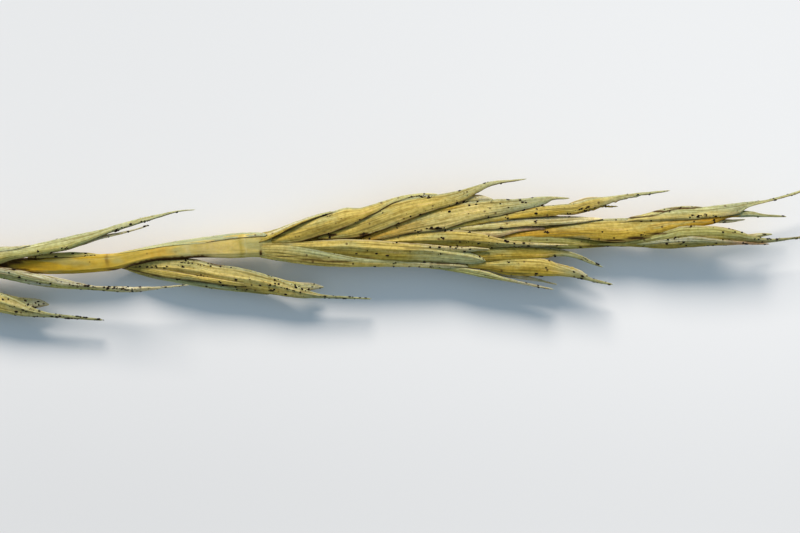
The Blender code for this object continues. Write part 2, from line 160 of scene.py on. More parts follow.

# Each husk has its upper and lower edge, both from foot to tip, the heights of those edges at foot,
# middle and tip, and how far it swells over (crown) and under them (belly).
# edges: whether the upper and the lower edge roll under (r) or lie free (f).
# paint: the colours of foot, upper side, lower side and tip. nerves: how many, and how strong.
# crack: how dark the painted shade in the gap beside the upper and the lower edge is. specks: how many,
# beside others.
# rank: the piece that it becomes part of.
# Some have more: crackFrom, tipFrom and backFrom are shares of the length where the gap, the tip's
# colour and the part that the next husk leaves bare begin, and footReach is how far the foot's colour
# goes. ragged tears a free edge, fold gives a keel at that share of the width, and the painted shade at the
# upper edge, where the rachis lies beside it, is a dark line: its strength, its width and how far it runs.
endHusks = (
    {"name": "core", "upper": ((0.00, 0.29), (2.83, 0.88), (7.00, 1.42), (9.92, 1.54), (14.08, 0.96),
                               (15.80, 1.02), (17.20, 1.00)),
     "lower": ((0.00, -0.38), (2.83, -0.58), (7.00, -0.67), (9.08, -0.62), (11.58, -0.12), (14.92, 0.08),
               (16.00, 0.30), (17.20, 0.90)),
     "levels": ((-0.05, -0.05, 0.15), (-0.05, -0.05, 0.15)), "crown": 0.36, "belly": 0.55,
     "edges": "rr", "paint": ("amber", "deepGold", "deepGold", "gold"), "nerves": (7, 0.5),
     "crack": (0, 0), "specks": 0.0, "rank": "inner"},
    {"name": "upperGlume", "upper": ((-0.12, 0.49), (0.42, 0.62), (0.96, 0.81), (1.58, 1.04),
                                     (2.21, 1.25), (2.75, 1.38), (3.17, 1.42)),
     "lower": ((-0.12, 0.09), (0.33, 0.24), (0.79, 0.48), (1.46, 0.82), (2.00, 1.04), (2.50, 1.21),
               (3.17, 1.38)),
     "levels": ((0.06, 0.16, 0.30), (0.38, 0.50, 0.36)), "crown": 0.10, "belly": 0.44,
     "edges": "rf", "paint": ("dullStraw", "grey", "olive", "glaucous"), "nerves": (3, 0.6),
     "crack": (0, 1.3), "specks": 0.5, "rank": "upper"},
    {"name": "firstFloret", "upper": ((-0.04, 0.29), (0.75, 0.67), (1.58, 1.00), (2.83, 1.36),
                                      (3.50, 1.55), (4.08, 1.55), (4.92, 1.79), (5.75, 2.03),
                                      (6.58, 2.15), (7.33, 2.14)),
     "lower": ((-0.04, 0.05), (0.75, 0.08), (1.58, 0.14), (2.42, 0.38), (3.25, 0.64), (4.08, 1.00),
               (4.92, 1.42), (5.54, 1.77), (6.38, 2.00), (7.33, 2.10)),
     "levels": ((0.06, 0.32, 0.34), (0.26, 0.60, 0.40)), "crown": 0.12, "belly": 0.62,
     "edges": "rf", "paint": ("gold", "straw", "dullStraw", "glaucous"), "nerves": (6, 0.55),
     "crack": (0, 1.3), "crackFrom": 0.17, "specks": 0.35, "rank": "upper"},
    {"name": "thirdFloret", "upper": ((2.33, 0.38), (3.46, 1.04), (4.50, 1.46), (5.75, 1.88),
                                      (6.58, 2.02), (7.42, 2.12), (8.25, 2.28), (9.00, 2.50),
                                      (9.58, 2.65), (10.33, 2.71), (11.04, 2.77)),
     "lower": ((2.33, 0.23), (3.46, 0.27), (4.08, 0.34), (4.92, 0.59), (5.75, 0.90), (7.00, 1.39),
               (7.83, 1.62), (8.46, 1.85), (8.96, 2.15), (9.58, 2.46), (10.33, 2.61), (11.04, 2.73)),
     "levels": ((0.30, 0.45, 0.32), (0.43, 0.60, 0.34)), "crown": 0.10, "belly": 0.54, "backFrom": 0.44,
     "edges": "rf", "paint": ("gold", "straw", "straw", "tipGreen"), "nerves": (7, 0.5),
     "crack": (0.3, 1.2), "specks": 0.8, "rank": "upper"},
    {"name": "thirdPalea", "upper": ((7.42, 1.79), (8.04, 2.00), (8.67, 2.08), (9.12, 2.08),
                                     (9.62, 1.93)),
     "lower": ((7.42, 1.54), (8.04, 1.67), (8.67, 1.79), (9.12, 1.84), (9.62, 1.88)),
     "levels": ((0.36, 0.36, 0.30), (0.46, 0.44, 0.32)), "crown": 0.06, "belly": 0.05,
     "edges": "ff", "paint": ("straw", "cream", "paleStraw", "hyaline"), "nerves": (2, 0.4),
     "crack": (0, 0.6), "specks": 3.0, "rank": "tip"},
    {"name": "fifthFloret", "upper": ((4.17, 0.29), (5.12, 0.79), (6.17, 1.17), (7.42, 1.58),
                                      (8.67, 1.79), (9.62, 1.90), (10.75, 1.92), (11.38, 1.99),
                                      (12.00, 2.02), (12.83, 1.97)),
     "lower": ((4.17, 0.15), (5.12, 0.27), (6.17, 0.48), (7.54, 0.65), (8.67, 0.99), (9.92, 1.23),
               (11.17, 1.50), (11.79, 1.69), (12.08, 1.85), (12.83, 1.92)),
     "levels": ((0.34, 0.44, 0.31), (0.42, 0.55, 0.33)), "crown": 0.09, "belly": 0.50, "backFrom": 0.56,
     "edges": "rf", "paint": ("amber", "paleStraw", "paleStraw", "tipGreen"), "nerves": (7, 0.6),
     "footReach": 0.38, "crack": (0.3, 1.0), "specks": 1.0, "rank": "upper"},
    {"name": "seventhFloret", "upper": ((7.00, 0.58), (8.25, 1.04), (9.92, 1.33), (11.17, 1.56),
                                        (12.42, 1.69), (13.04, 1.74), (13.67, 1.92), (14.58, 2.04),
                                        (15.75, 2.18), (17.00, 2.29)),
     "lower": ((7.00, 0.50), (8.25, 0.71), (9.92, 1.00), (11.17, 1.13), (12.42, 1.24), (13.17, 1.32),
               (13.88, 1.52), (14.62, 1.75), (15.75, 2.03), (17.00, 2.24)),
     "levels": ((0.34, 0.37, 0.32), (0.43, 0.48, 0.34)), "crown": 0.08, "belly": 0.42, "backFrom": 0.52,
     "edges": "rf", "paint": ("straw", "straw", "gold", "tipGreen"), "nerves": (6, 0.7),
     "crack": (0.2, 0.9), "specks": 1.4, "ragged": 0.05, "rank": "upper"},
    {"name": "seventhPalea", "upper": ((12.42, 1.58), (13.25, 1.71), (14.08, 1.69), (14.79, 1.62)),
     "lower": ((12.42, 1.24), (13.04, 1.26), (13.67, 1.42), (14.21, 1.56), (14.79, 1.58)),
     "levels": ((0.38, 0.36, 0.30), (0.42, 0.40, 0.30)), "crown": 0.08, "belly": 0.06,
     "edges": "ff", "paint": ("gold", "gold", "gold", "olive"), "nerves": (3, 0.6),
     "crack": (0, 0.8), "specks": 3.0, "ragged": 0.07, "rank": "tip"},
    {"name": "seventhMargin", "upper": ((12.75, 1.71), (13.17, 1.88), (13.58, 1.99), (14.17, 2.00)),
     "lower": ((12.75, 1.62), (13.25, 1.67), (13.67, 1.79), (14.17, 1.92)),
     "levels": ((0.16, 0.14, 0.14), (0.26, 0.24, 0.16)), "crown": 0.03, "belly": 0.03,
     "edges": "ff", "paint": ("cream", "hyaline", "cream", "hyaline"), "nerves": (2, 0.3),
     "crack": (0, 0.2), "specks": 0.5, "rank": "tip"},
    {"name": "paleBand", "upper": ((6.50, 0.50), (7.83, 0.79), (9.50, 1.04), (10.75, 1.15),
                                   (12.00, 1.19), (13.04, 1.19), (14.21, 1.11)),
     "lower": ((6.50, 0.46), (7.83, 0.56), (9.50, 0.64), (10.75, 0.76), (11.79, 0.80), (13.04, 0.89),
               (14.21, 1.08)),
     "levels": ((0.36, 0.34, 0.30), (0.44, 0.48, 0.38)), "crown": 0.06, "belly": 0.36,
     "edges": "ff", "paint": ("straw", "cream", "paleStraw", "cream"), "nerves": (4, 0.5),
     "crack": (0.2, 1.0), "specks": 1.0, "rank": "upper"},
    {"name": "pinkMargin", "upper": ((7.42, 0.58), (8.67, 0.71), (9.92, 0.73), (10.96, 0.79),
                                     (11.79, 0.73)),
     "lower": ((7.42, 0.21), (8.67, 0.21), (9.83, 0.31), (10.75, 0.55), (11.79, 0.65)),
     "levels": ((0.38, 0.38, 0.34), (0.40, 0.43, 0.38)), "crown": 0.05, "belly": 0.30,
     "edges": "ff", "paint": ("straw", "paleStraw", "pink", "rose"), "nerves": (4, 0.4),
     "crack": (0.2, 1.1), "specks": 1.2, "rank": "upper"},
    {"name": "goldenFloret", "upper": ((10.12, 0.50), (11.17, 0.67), (11.79, 0.73), (12.62, 0.88),
                                       (13.67, 1.04), (14.71, 1.11), (15.75, 1.14), (16.79, 1.17),
                                       (17.83, 1.19), (19.08, 1.23), (20.12, 1.28)),
     "lower": ((10.12, 0.21), (11.17, 0.25), (12.00, 0.29), (13.04, 0.29), (14.08, 0.17),
               (14.92, 0.12), (15.96, 0.27), (16.92, 0.54), (17.83, 0.75), (18.67, 0.84),
               (19.29, 1.08), (20.12, 1.24)),
     "levels": ((0.30, 0.24, 0.40), (0.34, 0.42, 0.40)), "crown": 0.14, "belly": 0.40, "footReach": 0.44,
     "edges": "rf", "paint": ("amber", "straw", "gold", "amber"), "nerves": (8, 0.6),
     "crack": (0.2, 0.7), "specks": 0.5, "rank": "upper"},
    {"name": "ninthFloret", "upper": ((14.83, 1.00), (15.58, 1.20), (16.38, 1.42), (16.92, 1.54),
                                      (17.42, 1.60), (18.25, 1.58), (19.08, 1.67), (20.12, 1.79),
                                      (20.96, 1.88), (21.79, 2.09), (22.42, 2.29), (22.90, 2.47)),
     "lower": ((14.83, 0.92), (15.58, 1.00), (16.38, 1.00), (17.21, 1.02), (18.25, 1.10),
               (19.08, 1.18), (19.83, 1.31), (20.25, 1.56), (20.96, 1.76), (21.79, 1.98),
               (22.42, 2.18), (22.90, 2.42)),
     "levels": ((0.26, 0.26, 0.42), (0.38, 0.48, 0.44)), "crown": 0.10, "belly": 0.24,
     "edges": "rf", "paint": ("paleStraw", "glaucous", "paleStraw", "tipGreen"), "nerves": (7, 0.8),
     "tipFrom": 0.40, "crack": (0, 0.7), "specks": 2.0, "rank": "upper"},
    {"name": "ninthMargin", "upper": ((15.33, 1.17), (15.96, 1.31), (16.46, 1.45), (17.00, 1.57),
                                      (17.62, 1.63), (18.33, 1.60)),
     "lower": ((15.33, 1.12), (16.08, 1.18), (16.50, 1.27), (16.88, 1.42), (17.50, 1.50),
               (18.33, 1.57)),
     "levels": ((0.30, 0.10, 0.20), (0.36, 0.40, 0.30)), "crown": 0.06, "belly": 0.20,
     "edges": "rf", "paint": ("grey", "grey", "green", "grey"), "nerves": (2, 0.5),
     "crack": (0, 1.5), "specks": 0.8, "rank": "tip"},
    {"name": "ninthPalea", "upper": ((18.25, 1.33), (19.29, 1.42), (20.25, 1.42), (20.83, 1.30),
                                     (21.83, 1.21)),
     "lower": ((18.25, 1.12), (19.29, 1.14), (20.25, 1.16), (20.83, 1.16), (21.83, 1.16)),
     "levels": ((0.38, 0.36, 0.30), (0.36, 0.34, 0.30)), "crown": 0.06, "belly": 0.10,
     "edges": "rr", "paint": ("straw", "glaucous", "tipGreen", "tipGreen"), "nerves": (3, 0.5),
     "crack": (0, 0), "specks": 1.0, "rank": "tip"},
    {"name": "ninthInnerTip", "upper": ((18.25, 1.04), (19.00, 1.08), (19.62, 1.07), (20.12, 1.08)),
     "lower": ((18.25, 0.88), (18.92, 0.91), (19.54, 0.93), (20.12, 1.04)),
     "levels": ((0.28, 0.26, 0.24), (0.28, 0.26, 0.24)), "crown": 0.04, "belly": 0.04,
     "edges": "ff", "paint": ("gold", "hyaline", "hyaline", "hyaline"), "nerves": (2, 0.3),
     "crack": (0, 0), "specks": 0.3, "rank": "tip"},
    {"name": "lowerGlume", "upper": ((-0.04, 0.03), (0.75, 0.06), (1.58, 0.02), (2.42, -0.12),
                                     (3.17, -0.31), (4.08, -0.50), (5.33, -0.60), (6.79, -0.70),
                                     (7.83, -0.74), (8.62, -0.88)),
     "lower": ((-0.04, -0.53), (0.75, -0.67), (1.58, -0.79), (2.42, -0.88), (3.46, -0.92),
               (4.92, -0.91), (6.17, -0.92), (7.42, -0.94), (8.04, -0.96), (8.62, -0.93)),
     "levels": ((0.37, 0.46, 0.30), (0.22, 0.36, 0.26)), "crown": 0.09, "belly": 0.66,
     "edges": "fr", "paint": ("straw", "glaucous", "straw", "cream"), "nerves": (6, 0.8),
     "crack": (0.8, 0), "specks": 0.9, "rank": "lower"},
    {"name": "secondFloret", "upper": ((0.88, 0.06), (1.58, 0.12), (2.62, 0.20), (3.46, 0.24),
                                       (4.50, 0.21), (5.75, 0.11), (7.00, 0.02), (8.04, -0.17),
                                       (8.75, -0.33), (9.33, -0.60)),
     "lower": ((0.88, -0.17), (2.00, -0.46), (3.25, -0.62), (4.50, -0.71), (5.75, -0.75),
               (7.00, -0.75), (8.04, -0.78), (8.75, -0.80), (9.33, -0.73)),
     "levels": ((0.38, 0.54, 0.36), (0.28, 0.36, 0.30)), "crown": 0.12, "belly": 0.58,
     # the olive of its lower side is painted shade below the keel
     "edges": "fr", "paint": ("straw", "straw", "olive", "glaucous"), "nerves": (6, 0.6),
     "crack": (0.9, 0), "specks": 0.8, "fold": 0.36, "rank": "lower"},
    {"name": "secondMargin", "upper": ((6.17, 0.07), (7.21, 0.00), (8.04, -0.07), (8.79, -0.08),
                                       (9.50, -0.16)),
     "lower": ((6.17, -0.21), (7.21, -0.27), (8.04, -0.31), (8.79, -0.27), (9.50, -0.21)),
     "levels": ((0.50, 0.52, 0.50), (0.48, 0.46, 0.48)), "crown": 0.05, "belly": 0.08,
     "edges": "ff", "paint": ("paleStraw", "cream", "paleStraw", "cream"), "nerves": (3, 0.5),
     "crack": (0.8, 0.5), "specks": 2.6, "rank": "tip"},
    {"name": "fourthFloret", "upper": ((4.58, 0.19), (5.33, 0.35), (6.38, 0.54), (7.42, 0.60),
                                       (8.25, 0.60), (9.08, 0.50), (9.83, 0.29), (10.54, 0.15),
                                       (11.58, 0.08), (12.79, 0.02)),
     "lower": ((4.58, 0.08), (5.54, -0.08), (6.58, -0.17), (7.83, -0.21), (9.08, -0.17),
               (9.92, -0.10), (10.75, -0.07), (11.58, -0.07), (12.79, -0.02)),
     "levels": ((0.32, 0.50, 0.48), (0.34, 0.36, 0.46)), "crown": 0.12, "belly": 0.50,
     # the olive of its lower side is painted shade beside the second floret's top edge
     "edges": "ff", "paint": ("straw", "straw", "olive", "cream"), "nerves": (6, 0.6),
     "crack": (0.8, 0.6), "specks": 1.3, "fold": 0.5, "rank": "lower"},
    {"name": "centralGreen", "upper": ((8.67, 0.21), (9.71, 0.35), (10.42, 0.48), (11.17, 0.57),
                                       (12.00, 0.56), (12.75, 0.46), (13.46, 0.31), (14.08, 0.19),
                                       (14.83, 0.02)),
     "lower": ((8.67, -0.12), (9.71, -0.17), (10.75, -0.19), (11.79, -0.19), (12.83, -0.17),
               (13.46, -0.14), (14.08, -0.09), (14.83, -0.03)),
     "levels": ((0.30, 0.30, 0.20), (0.24, 0.20, 0.18)), "crown": 0.12, "belly": 0.44,
     "edges": "fr", "paint": ("olive", "green", "green", "olive"), "nerves": (7, 1.0),
     "crack": (0.6, 0), "specks": 1.6, "rank": "lower"},
    {"name": "lowerPalea", "upper": ((7.00, -0.21), (8.25, -0.08), (9.50, -0.04), (10.75, -0.06),
                                     (12.00, -0.12), (12.62, -0.22), (13.25, -0.42), (13.75, -0.67),
                                     (14.21, -0.92)),
     "lower": ((7.00, -0.71), (8.25, -0.75), (9.50, -0.71), (10.54, -0.65), (11.58, -0.58),
               (12.25, -0.48), (12.92, -0.52), (13.58, -0.75), (14.21, -0.96)),
     "levels": ((0.20, 0.32, 0.24), (0.18, 0.28, 0.22)), "crown": 0.09, "belly": 0.36,
     "edges": "fr", "paint": ("gold", "olive", "gold", "tipGreen"), "nerves": (6, 0.7),
     "crack": (0.4, 0), "specks": 0.8, "rank": "lower"},
    {"name": "sixthFloret", "upper": ((7.42, -0.71), (8.46, -0.71), (9.38, -0.69), (10.12, -0.56),
                                      (11.17, -0.52), (11.88, -0.60), (12.42, -0.83), (13.04, -1.06),
                                      (13.67, -1.35), (14.62, -1.61)),
     "lower": ((7.42, -0.92), (8.46, -0.98), (9.38, -1.04), (10.12, -1.23), (11.17, -1.30),
               (12.21, -1.30), (12.92, -1.35), (13.46, -1.46), (14.00, -1.59), (14.62, -1.67)),
     "levels": ((0.18, 0.30, 0.22), (0.12, 0.22, 0.20)), "crown": 0.11, "belly": 0.42,
     "edges": "fr", "paint": ("paleStraw", "straw", "gold", "tipGreen"), "nerves": (6, 0.7),
     "crack": (0.7, 0), "specks": 1.6, "ragged": 0.02, "rank": "lower"},
    {"name": "sixthPalea", "upper": ((11.79, -0.62), (12.42, -0.79), (12.96, -0.94), (13.58, -1.25)),
     "lower": ((11.79, -0.96), (12.42, -1.08), (12.96, -1.19), (13.58, -1.29)),
     "levels": ((0.24, 0.22, 0.20), (0.24, 0.22, 0.20)), "crown": 0.05, "belly": 0.05,
     "edges": "ff", "paint": ("gold", "straw", "hyaline", "hyaline"), "nerves": (2, 0.4),
     "crack": (0, 0.2), "specks": 2.4, "ragged": 0.04, "rank": "tip"},
    {"name": "fourthGlume", "upper": ((6.38, -0.79), (7.42, -0.85), (8.46, -0.96), (9.29, -1.08),
                                      (10.12, -1.35), (10.96, -1.56), (11.58, -1.69), (12.17, -1.84)),
     "lower": ((6.38, -0.92), (7.42, -1.03), (8.46, -1.20), (9.29, -1.38), (10.12, -1.50),
               (10.96, -1.67), (11.58, -1.79), (12.17, -1.88)),
     "levels": ((0.18, 0.28, 0.20), (0.12, 0.22, 0.18)), "crown": 0.07, "belly": 0.36,
     "edges": "fr", "paint": ("paleStraw", "glaucous", "green", "hyaline"), "nerves": (4, 1.2),
     "crack": (0.7, 0), "specks": 1.8, "rank": "lower"},
    {"name": "fourthMargin", "upper": ((9.08, -0.88), (9.92, -1.04), (10.75, -1.21), (11.58, -1.42),
                                       (12.29, -1.62)),
     "lower": ((9.08, -1.08), (9.92, -1.29), (10.75, -1.42), (11.58, -1.53), (12.29, -1.67)),
     "levels": ((0.10, 0.08, 0.05), (0.08, 0.06, 0.05)), "crown": 0.05, "belly": 0.06,
     "edges": "ff", "paint": ("cream", "hyaline", "hyaline", "hyaline"), "nerves": (2, 0.5),
     "crack": (0.3, 0.3), "specks": 1.0, "rank": "tip"},
    {"name": "tipFloret", "upper": ((14.00, 0.06), (14.92, 0.10), (15.75, 0.28), (16.38, 0.46),
                                    (16.92, 0.64), (17.42, 0.77), (18.12, 0.80), (18.88, 0.78),
                                    (19.71, 0.63), (20.33, 0.41), (21.08, 0.27), (21.79, 0.30),
                                    (22.42, 0.35), (22.94, 0.38)),
     "lower": ((14.00, -0.06), (14.92, -0.07), (15.75, -0.09), (16.38, -0.14), (16.92, -0.16),
               (17.62, -0.11), (18.46, -0.05), (19.29, -0.02), (20.12, 0.03), (20.83, 0.07),
               (21.38, 0.12), (21.92, 0.21), (22.42, 0.27), (22.94, 0.34)),
     "levels": ((0.30, 0.48, 0.40), (0.12, 0.24, 0.38)), "crown": 0.18, "belly": 0.22,
     "edges": "fr", "paint": ("straw", "green", "olive", "tipGreen"), "nerves": (7, 0.8),
     "crack": (1.1, 0), "specks": 1.8, "rank": "lower"},
    {"name": "tipStrip", "upper": ((15.42, 0.06), (16.17, 0.19), (16.92, 0.33), (17.83, 0.37),
                                   (18.75, 0.27), (19.71, 0.17), (20.42, 0.10), (21.12, 0.06)),
     "lower": ((15.42, -0.08), (16.17, -0.12), (16.92, -0.16), (17.83, -0.10), (18.75, -0.04),
               (19.71, 0.00), (20.42, 0.01), (21.12, 0.01)),
     "levels": ((0.32, 0.54, 0.44), (0.14, 0.30, 0.38)), "crown": 0.12, "belly": 0.16,
     "edges": "fr", "paint": ("green", "grey", "dullStraw", "rose"), "nerves": (5, 1.4),
     "crack": (0.9, 0), "specks": 2.6, "rank": "tip"},
    {"name": "tipPalea", "upper": ((19.29, 0.54), (20.12, 0.45), (20.75, 0.50), (21.25, 0.47)),
     "lower": ((19.29, 0.29), (20.12, 0.25), (20.75, 0.33), (21.25, 0.42)),
     "levels": ((0.36, 0.30, 0.24), (0.36, 0.30, 0.24)), "crown": 0.04, "belly": 0.05,
     "edges": "ff", "paint": ("green", "hyaline", "green", "tipGreen"), "nerves": (2, 0.4),
     "crack": (0, 0.3), "specks": 1.5, "rank": "tip"},
)

# Spikelet on top of the rachis, from its own foot: a floret to each side, so the rachis shows between
topHusks = (
    {"name": "stalk", "upper": ((-0.35, 0.12), (0.10, 0.20), (1.40, 0.24)),
     "lower": ((-0.35, -0.12), (0.10, -0.20), (1.40, -0.20)),
     "levels": ((-0.20, -0.10, 0.0), (-0.20, -0.10, 0.0)), "crown": 0.08, "belly": 0.42,
     "edges": "rr", "paint": ("olive", "deepGold", "deepGold", "gold"), "nerves": (5, 0.5),
     "crack": (0, 0), "specks": 0.0},
    {"name": "upperLemma", "upper": ((0.04, 0.19), (0.83, 0.48), (2.08, 0.78), (2.92, 0.81),
                                     (3.75, 0.98), (4.58, 1.17), (5.42, 1.36), (6.25, 1.53),
                                     (7.08, 1.78), (7.92, 2.01), (8.75, 2.19), (9.50, 2.33),
                                     (10.25, 2.39)),
     "lower": ((0.04, -0.02), (1.04, -0.02), (2.08, 0.10), (2.71, 0.29), (3.54, 0.44), (4.38, 0.58),
               (5.08, 0.73), (5.75, 0.98), (6.25, 1.21), (6.67, 1.38), (7.29, 1.58), (7.92, 1.78),
               (8.75, 2.04), (9.50, 2.26), (10.25, 2.35)),
     "levels": ((-0.15, -0.30, -0.24), (0.02, -0.12, -0.22)), "crown": 0.16, "belly": 0.34,
     "edges": "rf", "paint": ("amber", "glaucous", "green", "tipGreen"), "nerves": (6, 0.5),
     "tipFrom": 0.46, "crack": (0, 0.8), "specks": 0.7},
    {"name": "upperPalea", "upper": ((4.17, 0.73), (5.62, 1.11), (6.46, 1.32), (7.08, 1.43),
                                     (7.71, 1.57), (8.29, 1.73)),
     "lower": ((4.17, 0.55), (5.21, 0.78), (6.25, 1.12), (6.75, 1.24), (7.50, 1.43), (8.29, 1.68)),
     "levels": ((-0.22, -0.26, -0.24), (-0.20, -0.22, -0.24)), "crown": 0.03, "belly": 0.04,
     "edges": "ff", "paint": ("grey", "hyaline", "grey", "grey"), "nerves": (2, 0.5),
     "crack": (0, 0.5), "specks": 0.8},
    {"name": "upperGlume", "upper": ((0.04, 0.18), (0.83, 0.51), (1.88, 0.81), (2.71, 0.84),
                                     (3.38, 0.92)),
     "lower": ((0.04, 0.07), (0.83, 0.28), (1.88, 0.53), (2.71, 0.68), (3.38, 0.87)),
     "levels": ((-0.15, -0.22, -0.20), (-0.02, -0.02, -0.14)), "crown": 0.10, "belly": 0.22,
     "edges": "rf", "paint": ("straw", "glaucous", "glaucous", "grey"), "nerves": (4, 0.7),
     "crack": (0, 0.5), "specks": 0.5},
    {"name": "lowerLemma", "upper": ((0.04, -0.04), (1.04, 0.03), (2.08, 0.00), (2.92, -0.14),
                                     (3.54, -0.28), (4.17, -0.43), (4.67, -0.62), (5.42, -0.72),
                                     (6.25, -0.81), (7.08, -0.82), (7.92, -0.84), (8.96, -0.81),
                                     (10.00, -0.74)),
     "lower": ((0.04, -0.18), (1.04, -0.35), (2.08, -0.45), (2.92, -0.64), (3.75, -0.81),
               (4.50, -0.90), (5.42, -0.95), (6.25, -1.00), (7.08, -1.06), (7.83, -1.06),
               (8.33, -0.99), (9.08, -0.89), (10.00, -0.78)),
     "levels": ((0.00, -0.10, 0.00), (-0.15, -0.25, -0.02)), "crown": 0.16, "belly": 0.26,
     "edges": "fr", "paint": ("olive", "grey", "green", "hyaline"), "nerves": (5, 0.9),
     "crack": (0.7, 0), "specks": 2.6, "ragged": 0.02},
    {"name": "lowerPalea", "upper": ((3.30, -0.24), (4.10, -0.37), (4.70, -0.50), (5.30, -0.64),
                                     (5.90, -0.80)),
     "lower": ((3.30, -0.56), (4.10, -0.64), (4.70, -0.73), (5.30, -0.83), (5.90, -0.86)),
     "levels": ((-0.10, -0.12, -0.14), (-0.10, -0.12, -0.14)), "crown": 0.03, "belly": 0.03,
     "edges": "ff", "paint": ("pink", "grey", "grey", "hyaline"), "nerves": (2, 0.4),
     "crack": (0, 0.3), "specks": 1.4},
    {"name": "lowerGlume", "upper": ((0.04, -0.06), (1.25, -0.06), (2.29, -0.16), (3.33, -0.39),
                                     (4.25, -0.68)),
     "lower": ((0.04, -0.20), (1.25, -0.38), (2.29, -0.52), (3.33, -0.73), (4.25, -0.84)),
     "levels": ((0.02, -0.04, -0.10), (-0.12, -0.20, -0.14)), "crown": 0.10, "belly": 0.20,
     "edges": "fr", "paint": ("olive", "pink", "green", "grey"), "nerves": (5, 0.8),
     "crack": (0.6, 0), "specks": 1.5},
)

# Spikelet at the rachis's lower edge, from its own foot
sideHusks = (
    {"name": "stalk", "upper": ((-0.30, 0.30), (0.20, 0.26), (1.20, 0.30)),
     "lower": ((-0.30, 0.05), (0.20, -0.06), (1.20, -0.20)),
     "levels": ((0.30, 0.15, 0.05), (0.10, -0.02, 0.0)), "crown": 0.10, "belly": 0.20,
     "edges": "rr", "paint": ("olive", "deepGold", "deepGold", "gold"), "nerves": (5, 0.5),
     "crack": (0, 0), "specks": 0.0},
    {"name": "lemma", "upper": ((0.07, 0.09), (0.66, 0.24), (1.49, 0.38), (2.53, 0.42), (3.24, 0.34),
                                (3.99, 0.15), (4.83, 0.03), (5.66, -0.15), (6.49, -0.41),
                                (7.20, -0.66), (7.78, -0.91), (8.45, -1.11), (9.41, -1.19),
                                (10.53, -1.27)),
     "lower": ((0.07, -0.03), (0.57, -0.18), (1.28, -0.39), (2.20, -0.57), (3.37, -0.76),
               (4.41, -0.90), (5.45, -1.00), (6.49, -1.14), (7.53, -1.27), (8.58, -1.28),
               (9.41, -1.30), (10.53, -1.33)),
     "levels": ((0.46, 0.70, 0.50), (0.30, 0.54, 0.48)), "crown": 0.13, "belly": 0.56,
     "edges": "rr", "paint": ("straw", "paleStraw", "straw", "tipGreen"), "nerves": (7, 0.5),
     "crack": (0, 0), "rachisShadeLine": (1.2, 0.06, 0.42), "specks": 1.8, "fold": 0.45},
    {"name": "palea", "upper": ((5.24, -0.10), (6.49, -0.40), (7.12, -0.55), (7.66, -0.62),
                                (8.08, -0.64), (8.53, -0.79)),
     "lower": ((5.24, -0.64), (6.49, -0.89), (7.12, -1.01), (7.66, -1.02), (8.12, -0.92),
               (8.53, -0.84)),
     "levels": ((0.44, 0.54, 0.44), (0.50, 0.54, 0.44)), "crown": 0.05, "belly": 0.12,
     "edges": "ff", "paint": ("straw", "green", "pink", "hyaline"), "nerves": (4, 0.7),
     "crack": (0.3, 0.7), "specks": 3.0, "ragged": 0.02},
    {"name": "edgeGlume", "upper": ((0.37, -0.07), (1.28, -0.26), (2.32, -0.45), (3.37, -0.60),
                                    (4.41, -0.73), (5.45, -0.88), (6.28, -1.04)),
     "lower": ((0.37, -0.14), (1.28, -0.42), (2.20, -0.60), (3.37, -0.81), (4.41, -0.95),
               (5.45, -1.05), (6.28, -1.14)),
     "levels": ((0.34, 0.62, 0.52), (0.22, 0.48, 0.44)), "crown": 0.07, "belly": 0.36,
     "edges": "fr", "paint": ("olive", "glaucous", "glaucous", "green"), "nerves": (4, 1.0),
     "crack": (1.2, 0), "specks": 1.6},
    {"name": "faceGlume", "upper": ((0.20, 0.05), (1.07, 0.01), (2.12, -0.14), (3.37, -0.35),
                                    (4.62, -0.55), (5.99, -0.80)),
     "lower": ((0.20, -0.03), (1.07, -0.25), (2.12, -0.43), (3.37, -0.58), (4.62, -0.74),
               (5.99, -0.85)),
     "levels": ((0.42, 0.78, 0.66), (0.36, 0.72, 0.62)), "crown": 0.04, "belly": 0.20,
     "edges": "ff", "paint": ("olive", "straw", "straw", "straw"), "nerves": (4, 0.9),
     "crack": (0.5, 1.0), "specks": 0.8},
)


def edgeTrack(points):
    # Rows of (share of the edge's length, x, y)
    lengths = [0.0]
    for start, end in zip(points, points[1:]):
        lengths.append(lengths[-1] + math.dist(start, end))
    return [(length / lengths[-1], *point) for length, point in zip(lengths, points)]


def threeHeights(heights, t):
    foot, middle, tip = heights
    return easedValue(((0.0, foot), (0.5, middle), (1.0, tip)), t)


